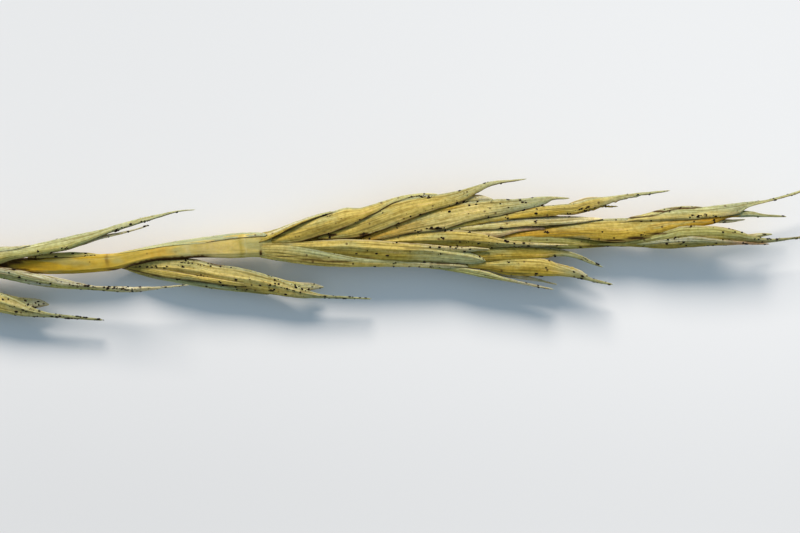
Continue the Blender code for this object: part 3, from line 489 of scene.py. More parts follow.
class Husk:
    # One blade of the seed head: its two edges, its section and its paint
    def __init__(self, values, key, foot=(0.0, 0.0, 0.0), size=1.0, spread=1.0):
        self.values = values
        self.key = key
        last = values["upper"][-1][0]
        placed = []
        for side in ("upper", "lower"):
            points = [(foot[0] + x * size, foot[1] + y * (1 + (spread - 1) * max(x / last, 0.0)))
                      for x, y in values[side]]
            placed.append(edgeTrack(points))
        self.upper, self.lower = placed
        self.levels = [[foot[2] + height for height in row] for row in values["levels"]]
        self.length = math.dist(self.upper[0][1:], self.upper[-1][1:])
        gaps = [self.gapAt(i / 20) for i in range(21)]
        self.width = max(gaps)
        self.small = self.length < huskShape["smallLength"] or self.width < huskShape["smallWidth"]
        self.colours = [palette[name] for name in values["paint"]]
        self.nerveCount, self.nerveStrength = values["nerves"]

    def edgesAt(self, t):
        return (Vector((easedValue(self.upper, t), easedValue(self.upper, t, 2))),
                Vector((easedValue(self.lower, t), easedValue(self.lower, t, 2))))

    def gapAt(self, t):
        upper, lower = self.edgesAt(t)
        return (upper - lower).length

    def paintAt(self, t, u):
        look = huskPaint
        foot, upperSide, lowerSide, tip = self.colours
        colour = blend(upperSide, lowerSide, smoothStep(*look["sides"], u))
        if self.values["edges"][0] == "r":
            # Painted shade: deep gold on a rolled edge where the next husk covers and shades it; green
            # where it lies bare
            covered = smoothStep(0.0, -look["bareChange"], t - self.values.get("backFrom", -1.0))
            gold = look["edgeStrength"] * smoothStep(*look["shadedCoveredEdge"], u) * covered
            green = look["edgeStrength"] * smoothStep(*look["bareEdge"], u) * (1 - covered)
            colour = blend(blend(colour, palette["deepGold"], gold), palette["tipGreen"], green)
        patch = noise.noise(Vector((t * self.length * 0.7, u * 1.8, self.key * 5.3)))
        footReach = self.values.get("footReach", look["footReach"]) + 0.10 * patch
        colour = blend(colour, foot, (1 - smoothStep(0.02, footReach, t)) * look["footStrength"])
        tipFrom = self.values.get("tipFrom", look["tipFrom"])
        tipShare = smoothStep(tipFrom, tipFrom + look["tipReach"], t + 0.08 * patch)
        return blend(colour, tip, tipShare * look["tipStrength"])

    def crossSection(self, t, uValues):
        # Outer and under points at one share of the length
        shape = huskShape
        upper, lower = self.edgesAt(t)
        gap = max((upper - lower).length, 0.008)
        across = (upper - lower) / gap
        ragged = self.values.get("ragged", 0.0)
        ragged *= smoothStep(*shape["raggedFrom"], t) * smoothStep(*shape["raggedTo"], t)
        wave = t * self.length / shape["edgeWaveLength"]
        kinds = self.values["edges"]
        for edge, sign, kind in ((upper, 1, kinds[0]), (lower, -1, kinds[1])):
            shift = noise.noise(Vector((wave, sign * 4.1, self.key * 2.3)))
            rough = noise.noise(Vector((wave * 3.1, sign * 7.7, self.key * 1.9)))
            reach = shape["edgeWave"] * shift + (ragged * rough if kind == "f" else 0.0)
            edge += across * sign * min(reach, 0.3 * gap) * smoothStep(0.0, 0.05, t)
        closing = 1 - min((1 - t) / shape["pointedEnd"], 1.0) ** 0.6
        upper, lower = upper.lerp(lower, 0.49 * closing), lower.lerp(upper, 0.49 * closing)
        zUpper, zLower = [threeHeights(row, t) for row in self.levels]
        scale = min((gap / self.width) ** 0.75, 1.0) * (0.72 + 0.28 * smoothStep(0.0, 0.12, t))
        crown = self.values["crown"] * scale
        belly = max(self.values["belly"] * scale, 0.02)
        outerRow, underRow = [], []
        for u in uValues:
            base = max(1 - abs(2 * u - 1) ** shape["roundness"], 0.0)
            kind = kinds[0] if u < 0.5 else kinds[1]
            dome = base ** (shape["rolled"] if kind == "r" else shape["free"])
            level = zUpper + (zLower - zUpper) * u
            inside = smoothStep(0.0, 0.10, u) * smoothStep(1.0, 0.90, u) * scale
            relief = shape["waveHeight"] * noise.noise(Vector((t * self.length / shape["waveLength"],
                                                               u * 2.2, self.key * 9.1)))
            relief += (shape["nerveHeight"] * self.nerveStrength
                       * math.cos(2 * math.pi * self.nerveCount * u))
            if "fold" in self.values:
                away = (u - self.values["fold"]) / shape["keelWidth"]
                relief += shape["foldHeight"] * math.exp(-away * away)
            plan = upper.lerp(lower, u)
            top = level + crown * dome + relief * inside
            hollow = base ** 0.5
            bottom = level - shape["margin"] - belly * hollow - 0.4 * relief * inside
            floorHere = surfaceZ + shape["restStep"] * (self.key % shape["restHeights"])
            outerRow.append((plan.x, plan.y, max(top, floorHere + 0.02)))
            underRow.append((plan.x, plan.y, max(min(bottom, top - 0.015), floorHere)))
        return outerRow, underRow

    def makeSurface(self):
        steps = huskShape["smallSteps"] if self.small else huskShape["steps"]
        self.alongSteps, self.acrossSteps = steps
        self.shares = [(i / steps[0]) for i in range(steps[0] + 1)]
        self.uOuter = [0.5 * (j / steps[1]) + 0.5 * (0.5 - 0.5 * math.cos(math.pi * j / steps[1]))
                       for j in range(steps[1] + 1)]
        underSteps = huskShape["underSteps"]
        self.uUnder = [0.5 - 0.5 * math.cos(math.pi * j / underSteps) for j in range(underSteps + 1)]
        self.outer = []
        self.under = []
        for t in self.shares:
            self.outer.append(self.crossSection(t, self.uOuter)[0])
            self.under.append(self.crossSection(t, self.uUnder)[1])


class MeshBasket:
    # Gathers points, faces and their colour data, and turns them into one object
    def __init__(self):
        self.points = []
        self.faces = []
        self.paint = []     # colour, and a number of the husk's or the speck's own
        # the crack mark holds painted shade in the gaps, together with the stains
        self.marks = []     # crack, pale margin, nerve strength, underside
        self.grain = []     # across and along in millimetres
        self.blade = []     # nerves counted across, share of the length

    def add(self, point, paint, marks, grain, blade):
        self.points.append(inPlant(*point))
        self.paint.append(paint)
        self.marks.append(marks)
        self.grain.append(grain)
        self.blade.append(blade)
        return len(self.points) - 1

    def build(self, name):
        mesh = bpy.data.meshes.new(name)
        mesh.from_pydata(self.points, [], self.faces)
        for layerName, rows in (("paint", self.paint), ("marks", self.marks)):
            layer = mesh.attributes.new(layerName, "FLOAT_COLOR", "POINT")
            layer.data.foreach_set("color", [value for row in rows for value in row])
        corners = [0] * len(mesh.loops)
        mesh.loops.foreach_get("vertex_index", corners)
        for layerName, rows in (("grain", self.grain), ("blade", self.blade)):
            layer = mesh.uv_layers.new(name=layerName)
            layer.data.foreach_set("uv", [value for corner in corners for value in rows[corner]])
        mesh.shade_smooth()
        mesh.validate()
        piece = bpy.data.objects.new(name, mesh)
        bpy.context.scene.collection.objects.link(piece)
        return piece


def marginTree(husks, rachisShadeLine):
    # Where the papery margins run, to paint shade into the cracks under them
    rows = list(rachisShadeLine)
    for husk in husks:
        for side, strength in zip((0, -1), husk.values["crack"]):
            if strength > 0:
                for i, t in enumerate(husk.shares):
                    if t >= husk.values.get("crackFrom", 0.0):
                        fading = strength * smoothStep(1.0, 0.90, t)
                        rows.append((husk.outer[i][side], husk.key, fading, t))
    tree = kdtree.KDTree(len(rows))
    for index, row in enumerate(rows):
        tree.insert((*row[0][:2], 0.0), index)
    tree.balance()
    return tree, rows


# Painted shade: a dark line on a husk along the margins of the other husks over it
def crackShadeAt(point, key, tree, rows):
    darkest = 0.0
    for _, index, distance in tree.find_range((*point[:2], 0.0), huskShape["crackReach"]):
        place, owner, strength, t = rows[index]
        if owner == key:
            continue
        away = math.hypot(point[0] - place[0], point[1] - place[1])
        rise = 0.5 + 0.9 * noise.noise(Vector((place[0] * 1.7, place[1] * 1.7, owner)))
        line = math.exp(-(away / huskShape["crackWidth"]) ** 2) * strength * max(rise, 0.1)
        darkest = max(darkest, line)
    return min(darkest, 1.0)


# Dark brown marks, as stains where dust and damp gathered and as painted shade in cracks and under
# overlaps: x, y, half length, half width, strength
stainsAndShade = (
    # The first two are painted shade in the cracks by the florets' feet
    (2.92, 0.42, 0.30, 0.07, 1.0),
    (4.29, 0.42, 0.32, 0.12, 1.0),
    (5.62, 0.80, 0.12, 0.06, 0.8),
    (7.17, 0.66, 0.42, 0.05, 1.0),
    (11.70, 0.62, 0.16, 0.07, 0.8),
    (7.70, -0.77, 0.90, 0.035, 0.9),
    (2.60, -0.66, 1.60, 0.030, 0.7),
    (14.65, 0.19, 0.60, 0.05, 1.0),
    (15.60, 0.29, 0.55, 0.07, 1.0),
    (16.45, 0.47, 0.50, 0.05, 0.9),
    (16.60, 1.40, 0.50, 0.045, 1.0),
    (17.55, 1.53, 0.75, 0.045, 1.0),
    (13.90, -0.05, 0.95, 0.030, 0.9),
    (-0.05, -0.30, 0.07, 0.14, 1.0),
    (1.00, -0.47, 0.55, 0.032, 0.9),
    (2.00, -0.60, 0.55, 0.034, 0.9),
    (3.10, -0.70, 0.70, 0.034, 0.9),
    # These six are painted shade: the V where the top spikelet's florets shade the rachis
    (-10.75, -0.88, 0.45, 0.13, 1.0),
    (-10.30, -0.74, 0.45, 0.10, 1.0),
    (-9.50, -0.58, 0.60, 0.06, 1.0),
    (-8.30, -0.53, 0.80, 0.030, 0.8),
    (-10.20, -1.02, 0.60, 0.05, 0.9),
    (-9.50, -1.16, 0.60, 0.04, 0.8),
    (-6.45, -0.62, 0.10, 0.30, 0.35),
    (-6.10, -1.02, 0.45, 0.05, 0.9),
)


# Darkness of the stains and of the painted shade in the table above
def stainOrShadeAt(point):
    darkest = 0.0
    for x, y, halfLength, halfWidth, strength in stainsAndShade:
        away = math.hypot((point[0] - x) / halfLength, (point[1] - y) / halfWidth)
        if away < 1.6:
            rough = 0.35 * noise.noise(Vector((point[0] * 9, point[1] * 9, x)))
            darkest = max(darkest, strength * smoothStep(1.15, 0.45, away + rough))
    return darkest


def rimAt(husk, t, u):
    # The dark rim of a free margin, and of an edge that lies in a crack: the browned margin itself, with
    # painted shade in the gap beside it
    gap = husk.gapAt(t)
    rough = 0.75 + 0.9 * noise.noise(Vector((t * husk.length * 2.1, husk.key * 3.1, 4.0)))
    upper, lower = husk.values["crack"]
    width = huskShape["rimWidth"]
    rim = lower * math.exp(-((1 - u) * gap / (huskShape["lowerRim"] * width)) ** 2) * rough
    rim = max(rim, huskShape["upperRim"] * upper * math.exp(-(u * gap / width) ** 2) * rough)
    if t < husk.values.get("crackFrom", 0.0):
        rim = 0.0
    # Painted shade: a dark line at the upper edge where the rachis shades the husk
    if "rachisShadeLine" in husk.values:
        strength, width, until = husk.values["rachisShadeLine"]
        ending = smoothStep(until + huskShape["seamEnd"], until - huskShape["seamEnd"], t)
        rim = max(rim, strength * math.exp(-(u * gap / width) ** 2) * rough * ending)
    return min(rim * smoothStep(1.0, 0.93, t), 1.0)


def paleAt(husk, t, u):
    # The pale margin of a free edge
    upperKind, lowerKind = husk.values["edges"]
    inner, outer = huskPaint["paleEdge"]
    pale = smoothStep(inner, outer, u) if upperKind == "f" else 0.0
    if lowerKind == "f":
        pale = max(pale, huskPaint["lowerPale"] * smoothStep(1 - inner, 1 - outer, u))
    return pale * smoothStep(*huskPaint["paleFrom"], t)


def addHusk(basket, husk, tree, rows):
    outerIndex, underIndex = [], []
    own = (husk.key * 0.6180339) % 1.0
    for i, t in enumerate(husk.shares):
        row = []
        for u, point in zip(husk.uOuter, husk.outer[i]):
            crack = max(crackShadeAt(point, husk.key, tree, rows), rimAt(husk, t, u), stainOrShadeAt(point))
            marks = (crack, paleAt(husk, t, u), husk.nerveStrength, 0)
            row.append(basket.add(point, (*husk.paintAt(t, u), own), marks,
                                  (u * husk.width, t * husk.length), (u * husk.nerveCount, t)))
        outerIndex.append(row)
        row = []
        for u, point in zip(husk.uUnder, husk.under[i]):
            rim = rimAt(husk, t, u)
            row.append(basket.add(point, (*husk.paintAt(t, u), own), (rim, 0, husk.nerveStrength, 1),
                                  (u * husk.width, t * husk.length), (u * husk.nerveCount, t)))
        underIndex.append(row)
    faces = basket.faces
    for a, b in zip(outerIndex, outerIndex[1:]):
        for j in range(len(a) - 1):
            faces.append((a[j], a[j + 1], b[j + 1], b[j]))
    for a, b in zip(underIndex, underIndex[1:]):
        for j in range(len(a) - 1):
            faces.append((a[j], b[j], b[j + 1], a[j + 1]))
    for i in range(len(outerIndex) - 1):
        faces.append((outerIndex[i][0], outerIndex[i + 1][0], underIndex[i + 1][0], underIndex[i][0]))
        faces.append((outerIndex[i][-1], underIndex[i][-1], underIndex[i + 1][-1], outerIndex[i + 1][-1]))
    faces.append((*outerIndex[0][::-1], *underIndex[0]))
    faces.append((*outerIndex[-1], *underIndex[-1][::-1]))


# Rachis, culm end first: x, y, z of its axis, half width, half thickness
rachisRows = (
    (-43.0, 0.55, -0.33, 0.48, 0.48),
    (-38.5, 0.15, -0.33, 0.47, 0.47),
    (-34.7, -0.25, -0.32, 0.46, 0.44),
    (-34.0, -0.34, -0.32, 0.52, 0.46),
    (-33.3, -0.42, -0.30, 0.40, 0.37),
    (-29.6, -0.64, -0.24, 0.42, 0.37),
    (-29.0, -0.68, -0.23, 0.49, 0.42),
    (-28.3, -0.73, -0.21, 0.38, 0.34),
    (-24.6, -0.98, -0.13, 0.40, 0.34),
    (-24.0, -1.02, -0.12, 0.47, 0.39),
    (-23.3, -1.03, -0.11, 0.36, 0.32),
    (-19.1, -0.92, -0.05, 0.38, 0.32),
    (-18.5, -0.90, -0.04, 0.45, 0.37),
    (-17.8, -0.90, -0.03, 0.34, 0.30),
    (-13.6, -0.90, 0.0, 0.34, 0.29),
    (-13.0, -0.90, 0.0, 0.38, 0.31),
    (-12.3, -0.88, 0.0, 0.31, 0.28),
    (-10.1, -0.85, 0.0, 0.31, 0.27),
    (-8.8, -0.85, 0.0, 0.36, 0.29),
    (-7.6, -0.80, 0.0, 0.38, 0.31),
    (-6.6, -0.74, 0.0, 0.36, 0.31),
    (-6.1, -0.69, 0.0, 0.34, 0.31),
    (-5.1, -0.47, 0.0, 0.29, 0.28),
    (-4.4, -0.34, 0.0, 0.28, 0.28),
    (-3.8, -0.27, 0.0, 0.32, 0.29),
    (-2.6, -0.14, 0.0, 0.39, 0.31),
    (-1.9, -0.10, 0.0, 0.43, 0.33),
    (-1.2, -0.06, 0.0, 0.48, 0.35),
    (-0.6, -0.02, 0.0, 0.49, 0.36),
    (-0.05, -0.01, 0.0, 0.50, 0.37),
)
rachisLook = {
    "farStep": 0.14,         # between its rings away from the end spikelet
    "nearStep": 0.045,
    "nearFrom": -12.5,
    "roundSteps": 60,
    "squareness": (0.52, 0.88),    # near the end spikelet and on the culm; 1 is an ellipse
    "squareFrom": (-14.0, -11.5),
    "ribCount": 13,
    "ribHeight": 0.006,
    "waveHeight": 0.014,
    "nodes": (-34.0, -29.0, -24.0, -18.5, -13.0, -6.4, -0.78),
    "nodeHeight": (0.03, 0.03, 0.03, 0.03, 0.02, 0.004, 0.010),
    "into": 0.7,             # how far it runs on into the end spikelet
    "recess": 0.12,
    "goldToStraw": (-6.5, -2.5),
    "deepGold": (-5.0, -8.0),
    # painted light: the lower side of the section is made paler near the end spikelet, against the shade
    # there
    "paintedLightBelow": (-5.5, -4.0),
    "brownNodes": 5,         # how many nodes from the culm have a brown ring
    # painted shade: the dark gaps beside the spikelets that lie against the rachis, and the V
    "cracks": (              # x: begins, full, gone, full until; side; across: begins, full
        (-6.2, -5.4, -1.9, -2.5, -1, 0.68, 0.84),
        (-9.1, -10.0, -12.6, -12.2, 1, 0.45, 0.70),
        (-8.9, -9.8, -12.6, -12.2, -1, 0.66, 0.82),
        (-10.2, -10.7, -12.6, -12.2, 1, -3.0, -2.0),
    ),
    "bands": (               # x, half width, colour, how strong, from which height of the section up
        (-6.42, 0.11, "brown", 0.45, 0.0),
        (-9.6, 1.1, "amber", 0.5, 0.0),
        (-5.3, 0.50, "olive", 0.40, 0.5),
        (-4.3, 0.60, "amber", 0.60, 0.55),
        # painted highlight: a pale streak on the top of the section
        (-3.1, 0.16, "cream", 0.5, 0.75),
        (-2.6, 1.1, "paleStraw", 0.35, 0.0),
        (-1.9, 0.9, "pink", 0.30, 0.0),
        (-0.86, 0.08, "olive", 0.75, 0.0),
        (-0.68, 0.03, "cream", 0.6, 0.0),
        (-0.36, 0.25, "paleStraw", 0.6, 0.0),
        (-0.03, 0.06, "brown", 0.65, 0.0),
    ),
}


def rachisAt(x):
    return [easedValue(rachisRows, x, column) for column in range(1, 5)]


def rachisPaint(x, side, height):
    look = rachisLook
    colour = blend(palette["gold"], palette["straw"], smoothStep(*look["goldToStraw"], x))
    colour = blend(colour, palette["deepGold"], 0.75 * smoothStep(*look["deepGold"], x))
    patch = noise.noise(Vector((x * 1.1, side * 2.0, height * 2.0)))
    colour = blend(colour, palette["straw"], 0.45 * smoothStep(0.0, 0.5, patch))
    # Painted light: paler on the lower side, against the shade that falls there
    lowerSide = smoothStep(0.1, 0.8, -side) * smoothStep(*look["paintedLightBelow"], x)
    colour = blend(colour, palette["paleStraw"], 0.5 * lowerSide)
    for middle, halfWidth, name, strength, fromHeight in look["bands"]:
        near = math.exp(-((x - middle + 0.03 * math.sin(side * 5)) / halfWidth) ** 2)
        above = 1.0 if fromHeight == 0 else smoothStep(fromHeight - 0.15, fromHeight + 0.15, height)
        rough = 0.75 + 0.6 * noise.noise(Vector((x * 6.0, side * 4.0, height * 4.0)))
        colour = blend(colour, palette[name], min(strength * near * above * rough, 1.0))
    for middle in look["nodes"][:look["brownNodes"]]:
        colour = blend(colour, palette["brown"], 0.45 * math.exp(-((x - middle) / 0.14) ** 2))
    return colour


def rachisShadeCrack(x, across, height):
    # Painted shade in the gaps beside what lies on the rachis, on its upper face only
    ragged = 0.10 * noise.noise(Vector((x * 7.0, 3.0, 1.0)))
    crack = 0.0
    for begins, full, gone, fullUntil, side, low, high in rachisLook["cracks"]:
        along = smoothStep(begins, full, x) * smoothStep(gone, fullUntil, x)
        crack = max(crack, along * smoothStep(low, high, side * across + ragged))
    return crack * smoothStep(-0.2, 0.25, height)


def buildRachis():
    look = rachisLook
    basket = MeshBasket()
    first, last = rachisRows[0][0], rachisRows[-1][0]
    stations = []
    x = first
    while x < last + look["into"]:
        stations.append(x)
        x += look["nearStep"] if x > look["nearFrom"] else look["farStep"]
    count = look["roundSteps"]
    rings = []
    for x in stations:
        sample = min(x, last)
        y, z, halfWidth, halfDepth = rachisAt(sample)
        yNext, zNext = rachisAt(min(sample + 0.05, last))[:2]
        along = Vector((0.05, yNext - y, zNext - z)).normalized()
        across = Vector((0, 0, 1)).cross(along).normalized()
        upward = along.cross(across)
        shrink = 1 - 0.25 * smoothStep(last, last + look["into"], x)
        knot = sum(height * math.exp(-((x - node) / 0.11) ** 2)
                   for node, height in zip(look["nodes"], look["nodeHeight"]))
        near, far = look["squareness"]
        power = far + (near - far) * smoothStep(*look["squareFrom"], x)
        row = []
        for k in range(count):
            theta = 2 * math.pi * k / count
            c, s = math.cos(theta), math.sin(theta)
            swell = look["ribHeight"] * math.cos(look["ribCount"] * theta + 0.5 * math.sin(x)) + knot
            swell += look["waveHeight"] * noise.noise(Vector((x * 0.8, c * 1.2, s * 1.2)))
            swell += 0.006 * noise.noise(Vector((x * 5.0, c * 2.5, s * 2.5)))
            squareC = math.copysign(abs(c) ** power, c)
            squareS = math.copysign(abs(s) ** power, s)
            point = Vector((x, y, z)) + across * ((halfWidth * shrink + swell) * squareC)
            point += upward * ((halfDepth * shrink + swell) * squareS)
            point.z = max(point.z, surfaceZ)
            colour = rachisPaint(x, c, s)
            # painted shade of the gaps, and the stains with the painted shade of the V
            crack = rachisShadeCrack(x, squareC, s)
            if s > -0.3:
                crack = max(crack, stainOrShadeAt((x, y + halfWidth * squareC)))
            row.append(basket.add(point, (*colour, 0.5), (crack, 0, 0.15, 0),
                                  (theta * 0.4, x), (theta * 1.6, (x - first) / (last - first))))
        rings.append(row)
    for low, high in zip(rings, rings[1:]):
        for k in range(count):
            after = (k + 1) % count
            basket.faces.append((low[k], low[after], high[after], high[k]))
    # Cut end: a rim, a shallow recess and the pith
    y, z, halfWidth, halfDepth = rachisAt(first)
    outerRing = rings[0]
    for share, depth, name in ((0.80, 0.0, "paleStraw"), (0.68, look["recess"], "cream"),
                               (0.30, look["recess"] * 0.8, "olive")):
        inner = []
        for k in range(count):
            theta = 2 * math.pi * k / count
            point = Vector((first + depth, y + halfWidth * share * math.cos(theta),
                            z + halfDepth * share * math.sin(theta)))
            point.z = max(point.z, surfaceZ)
            inner.append(basket.add(point, (*palette[name], 0.5), (0, 0, 0.2, 0),
                                    (theta * 0.4, share), (theta * 2.0, 0.0)))
        for k in range(count):
            after = (k + 1) % count
            basket.faces.append((outerRing[after], outerRing[k], inner[k], inner[after]))
        outerRing = inner
    basket.faces.append(tuple(outerRing))
    basket.faces.append(tuple(rings[-1]))
    return basket.build("rachis_stem")


# Pale strips of sheath along the rachis's upper edge
rachisStrips = (
    {"name": "neckStrip", "upper": ((-6.17, -0.36), (-5.08, -0.13), (-4.46, 0.00), (-3.83, 0.12),
                                    (-3.21, 0.22), (-2.58, 0.31), (-1.96, 0.39), (-1.33, 0.47),
                                    (-0.71, 0.52), (-0.05, 0.52), (0.22, 0.50)),
     "lower": ((-6.17, -0.40), (-5.08, -0.22), (-4.25, -0.08), (-3.62, -0.01), (-3.00, 0.03),
               (-2.25, 0.10), (-1.67, 0.20), (-0.92, 0.28), (-0.17, 0.34), (0.22, 0.38)),
     "levels": ((0.08, 0.12, 0.12), (0.25, 0.31, 0.37)), "crown": 0.05, "belly": 0.26,
     "edges": "rf", "paint": ("dullStraw", "tipGreen", "glaucous", "tipGreen"), "nerves": (3, 0.4),
     "crack": (0, 1.3), "crackFrom": 0.60, "specks": 0.5},
    {"name": "lowStrip", "upper": ((-9.75, -0.48), (-9.04, -0.37), (-8.42, -0.31), (-7.92, -0.29),
                                   (-7.38, -0.31), (-6.83, -0.37), (-6.38, -0.39)),
     "lower": ((-9.75, -0.58), (-8.83, -0.55), (-8.00, -0.54), (-7.17, -0.49), (-6.38, -0.43)),
     "levels": ((0.20, 0.18, 0.16), (0.25, 0.27, 0.20)), "crown": 0.04, "belly": 0.18,
     "edges": "rf", "paint": ("straw", "green", "straw", "straw"), "nerves": (2, 0.5),
     "crack": (0, 0.9), "specks": 2.5},
)
spikelets = {
    # node: seat, node's x, size, spread, inset
    "spikelet_1": ("side", -5.95, 1.0, 1.0, 0.05),
    "spikelet_2": ("top", -13.0, 1.0, 1.0, 0.0),
    "spikelet_3": ("side", -18.5, 1.13, 1.34, -0.04),
    "spikelet_4": ("top", -24.0, 1.05, 1.0, 0.0),
    "spikelet_5": ("side", -29.0, 1.08, 1.30, -0.26),
    "spikelet_6": ("top", -34.0, 0.98, 1.05, 0.0),
}
seats = {
    "topRise": 0.29,
    "sideDrop": 0.52,
    # These four set painted shade: the rachis's shadow on the spikelet at its side, drawn as a dark crack
    "seamLength": 4.0,       # of the crack that the rachis makes in a spikelet at its side
    "seamFullTo": 3.4,
    "seamSteps": 160,
    "seamStrength": 12.0,
}


def seatFoot(seat, nodeX, inset):
    y, z, halfWidth, halfDepth = rachisAt(nodeX)
    if seat == "top":
        return (nodeX, y, z + halfDepth + seats["topRise"])
    return (nodeX, y - halfWidth + inset, -seats["sideDrop"])


def rachisShadeRows(nodeX):
    # The rachis's lower edge beside a spikelet, as a dark line of painted shade in that spikelet
    rows = []
    for k in range(seats["seamSteps"]):
        x = nodeX + seats["seamLength"] * k / seats["seamSteps"]
        y, _, halfWidth, _ = rachisAt(x)
        fading = smoothStep(nodeX + seats["seamLength"], nodeX + seats["seamFullTo"], x)
        rows.append(((x, y - halfWidth, 0.0), -1, seats["seamStrength"] * fading, 0.0))
    return rows


def finishHusks(husks, groups, rachisShadeLine=()):
    # Surfaces first, as the cracks of each husk depend on its neighbours
    for husk in husks:
        husk.makeSurface()
    tree, rows = marginTree(husks, rachisShadeLine)
    pieces = []
    for name, members in groups:
        basket = MeshBasket()
        for husk in members:
            addHusk(basket, husk, tree, rows)
        pieces.append(basket.build(name))
    return pieces


# Dark specks on the husks
speckLook = {
    "perArea": 5.5,          # specks to a square millimetre where a husk's own number is 1
    "radius": (0.014, 0.047),
    "height": 0.45,
    "stretch": (1.0, 1.9),
    "cluster": 0.36,         # share that have others beside them
    "sides": 8,
    "rings": ((1.0, -0.25), (0.85, 0.45), (0.45, 0.9)),    # share of the radius, share of the height
    "bladeArea": 0.6,        # of a husk, beside its length times its width
    "along": (0.06, 0.92, 0.72),    # where the first lie, over which share, how crowded at the foot
    "atEdges": 0.40,         # share that lie at an edge
    "edgeBand": 0.06,
    "lowerEdge": 0.93,
    "beneath": 0.12,         # share on the underside
    "apart": (0.012, 0.12),  # of neighbours, as shares of the length and the width
    "clusterReach": 0.07,    # how near a husk has to be to take a speck of a cluster
    "black": (0.004, 0.003, 0.002),
    "brown": (0.030, 0.014, 0.007),
    "cloudScale": 9000.0,    # of the clouds of brown in the black, to a metre
}


def addSpeck(basket, centre, normal, along, radius, stretch):
    across = normal.cross(along).normalized()
    forward = across.cross(normal)
    sides = speckLook["sides"]
    rings = []
    turn = dice.random() * math.pi
    bumps = [0.8 + 0.4 * dice.random() for _ in range(sides)]
    for share, lift in speckLook["rings"]:
        ring = []
        for k in range(sides):
            angle = turn + 2 * math.pi * k / sides
            reach = radius * share * bumps[k]
            point = centre + forward * (reach * stretch * math.cos(angle))
            point += across * (reach * math.sin(angle)) + normal * (radius * speckLook["height"] * lift)
            point.z = max(point.z, surfaceZ + 0.003)
            ring.append(basket.add(point, (0, 0, 0, dice.random()), (0, 0, 0, 0), (0, 0), (0, 0)))
        rings.append(ring)
    for low, high in zip(rings, rings[1:]):
        for k in range(sides):
            after = (k + 1) % sides
            basket.faces.append((low[k], low[after], high[after], high[k]))
    basket.faces.append(tuple(rings[-1]))
    basket.faces.append(tuple(reversed(rings[0])))


# Where many specks lie together: middle x and y, half length, half width, how many
speckClusters = (
    (2.67, 1.29, 0.16, 0.05, 10),
    (6.73, 2.06, 0.60, 0.05, 20),
    (2.83, 0.40, 0.10, 0.10, 7),
    (4.29, 0.36, 0.26, 0.09, 10),
    (5.60, 0.79, 0.10, 0.06, 6),
    (7.17, 0.65, 0.40, 0.04, 12),
    (11.79, 0.58, 0.14, 0.08, 7),
    (13.46, 1.42, 0.50, 0.13, 18),
    (18.15, 1.25, 0.40, 0.10, 14),
    (-8.17, -0.23, 0.30, 0.10, 10),
    (-8.60, -0.40, 0.30, 0.07, 8),
    (-7.10, -0.40, 0.80, 0.07, 12),
    (-6.40, -1.72, 1.70, 0.15, 50),
    (1.10, -1.80, 1.30, 0.32, 34),
    (8.60, 0.02, 1.30, 0.08, 14),
    (-5.95, 0.60, 0.50, 0.06, 9),
    (-4.40, -0.86, 0.90, 0.05, 12),
    (-2.95, -0.76, 0.60, 0.06, 12),
    (-8.90, -1.70, 0.60, 0.14, 8),
    (-9.40, -2.48, 0.60, 0.10, 8),
)


def placeSpeck(basket, husk, sheet, i, j):
    corner = Vector(sheet[i][j])
    along = Vector(sheet[i + 1][j]) - corner
    across = Vector(sheet[i][j + 1]) - corner
    normal = across.cross(along)
    if normal.length == 0 or along.length == 0:
        return
    normal.normalize()
    if (sheet is husk.outer) != (normal.z > 0):
        normal.negate()
    spot = corner + along * dice.random() + across * dice.random()
    small, large = speckLook["radius"]
    radius = small + (large - small) * dice.random() ** 1.8
    addSpeck(basket, spot, normal, along.normalized(), radius, dice.uniform(*speckLook["stretch"]))


def placeClusters(basket, husks):
    # Each speck of a cluster goes onto the topmost husk under its place
    spots = [(husk, i, j) for husk in husks if husk.values["specks"] > 0
             for i in range(husk.alongSteps) for j in range(len(husk.uOuter) - 1)]
    tree = kdtree.KDTree(len(spots))
    for index, (husk, i, j) in enumerate(spots):
        x, y, _ = husk.outer[i][j]
        tree.insert((x, y, 0.0), index)
    tree.balance()
    for x, y, halfLength, halfWidth, count in speckClusters:
        for _ in range(count):
            reach, angle = dice.random() ** 0.7, dice.uniform(0, 2 * math.pi)
            place = (x + halfLength * reach * math.cos(angle), y + halfWidth * reach * math.sin(angle), 0.0)
            found = tree.find_range(place, speckLook["clusterReach"])
            near = [spots[index] for _, index, _ in found]
            if near:
                husk, i, j = max(near, key=lambda spot: spot[0].outer[spot[1]][spot[2]][2])
                placeSpeck(basket, husk, husk.outer, i, j)


def speckHusk(basket, husk):
    look = speckLook
    area = husk.length * husk.width * look["bladeArea"]
    count = husk.values["specks"] * look["perArea"] * area
    count = int(count) + (1 if dice.random() < count % 1 else 0)
    first, reach, crowding = look["along"]
    alongApart, acrossApart = look["apart"]
    for _ in range(count):
        t = first + reach * dice.random() ** crowding
        u = dice.random()
        if dice.random() < look["atEdges"]:
            u = look["edgeBand"] * dice.random() + (0.0 if dice.random() < 0.5 else look["lowerEdge"])
        if dice.random() < look["beneath"]:
            sheet, shares = husk.under, husk.uUnder
        else:
            sheet, shares = husk.outer, husk.uOuter
        members = 1 + (dice.randint(1, 3) if dice.random() < look["cluster"] else 0)
        for member in range(members):
            i = min(int(t * husk.alongSteps), husk.alongSteps - 1)
            j = min(range(len(shares) - 1), key=lambda k: abs(shares[k] - u))
            placeSpeck(basket, husk, sheet, i, j)
            t = min(max(t + dice.uniform(-alongApart, alongApart), 0.0), 0.99)
            u = min(max(u + dice.uniform(-acrossApart, acrossApart), 0.0), 1.0)


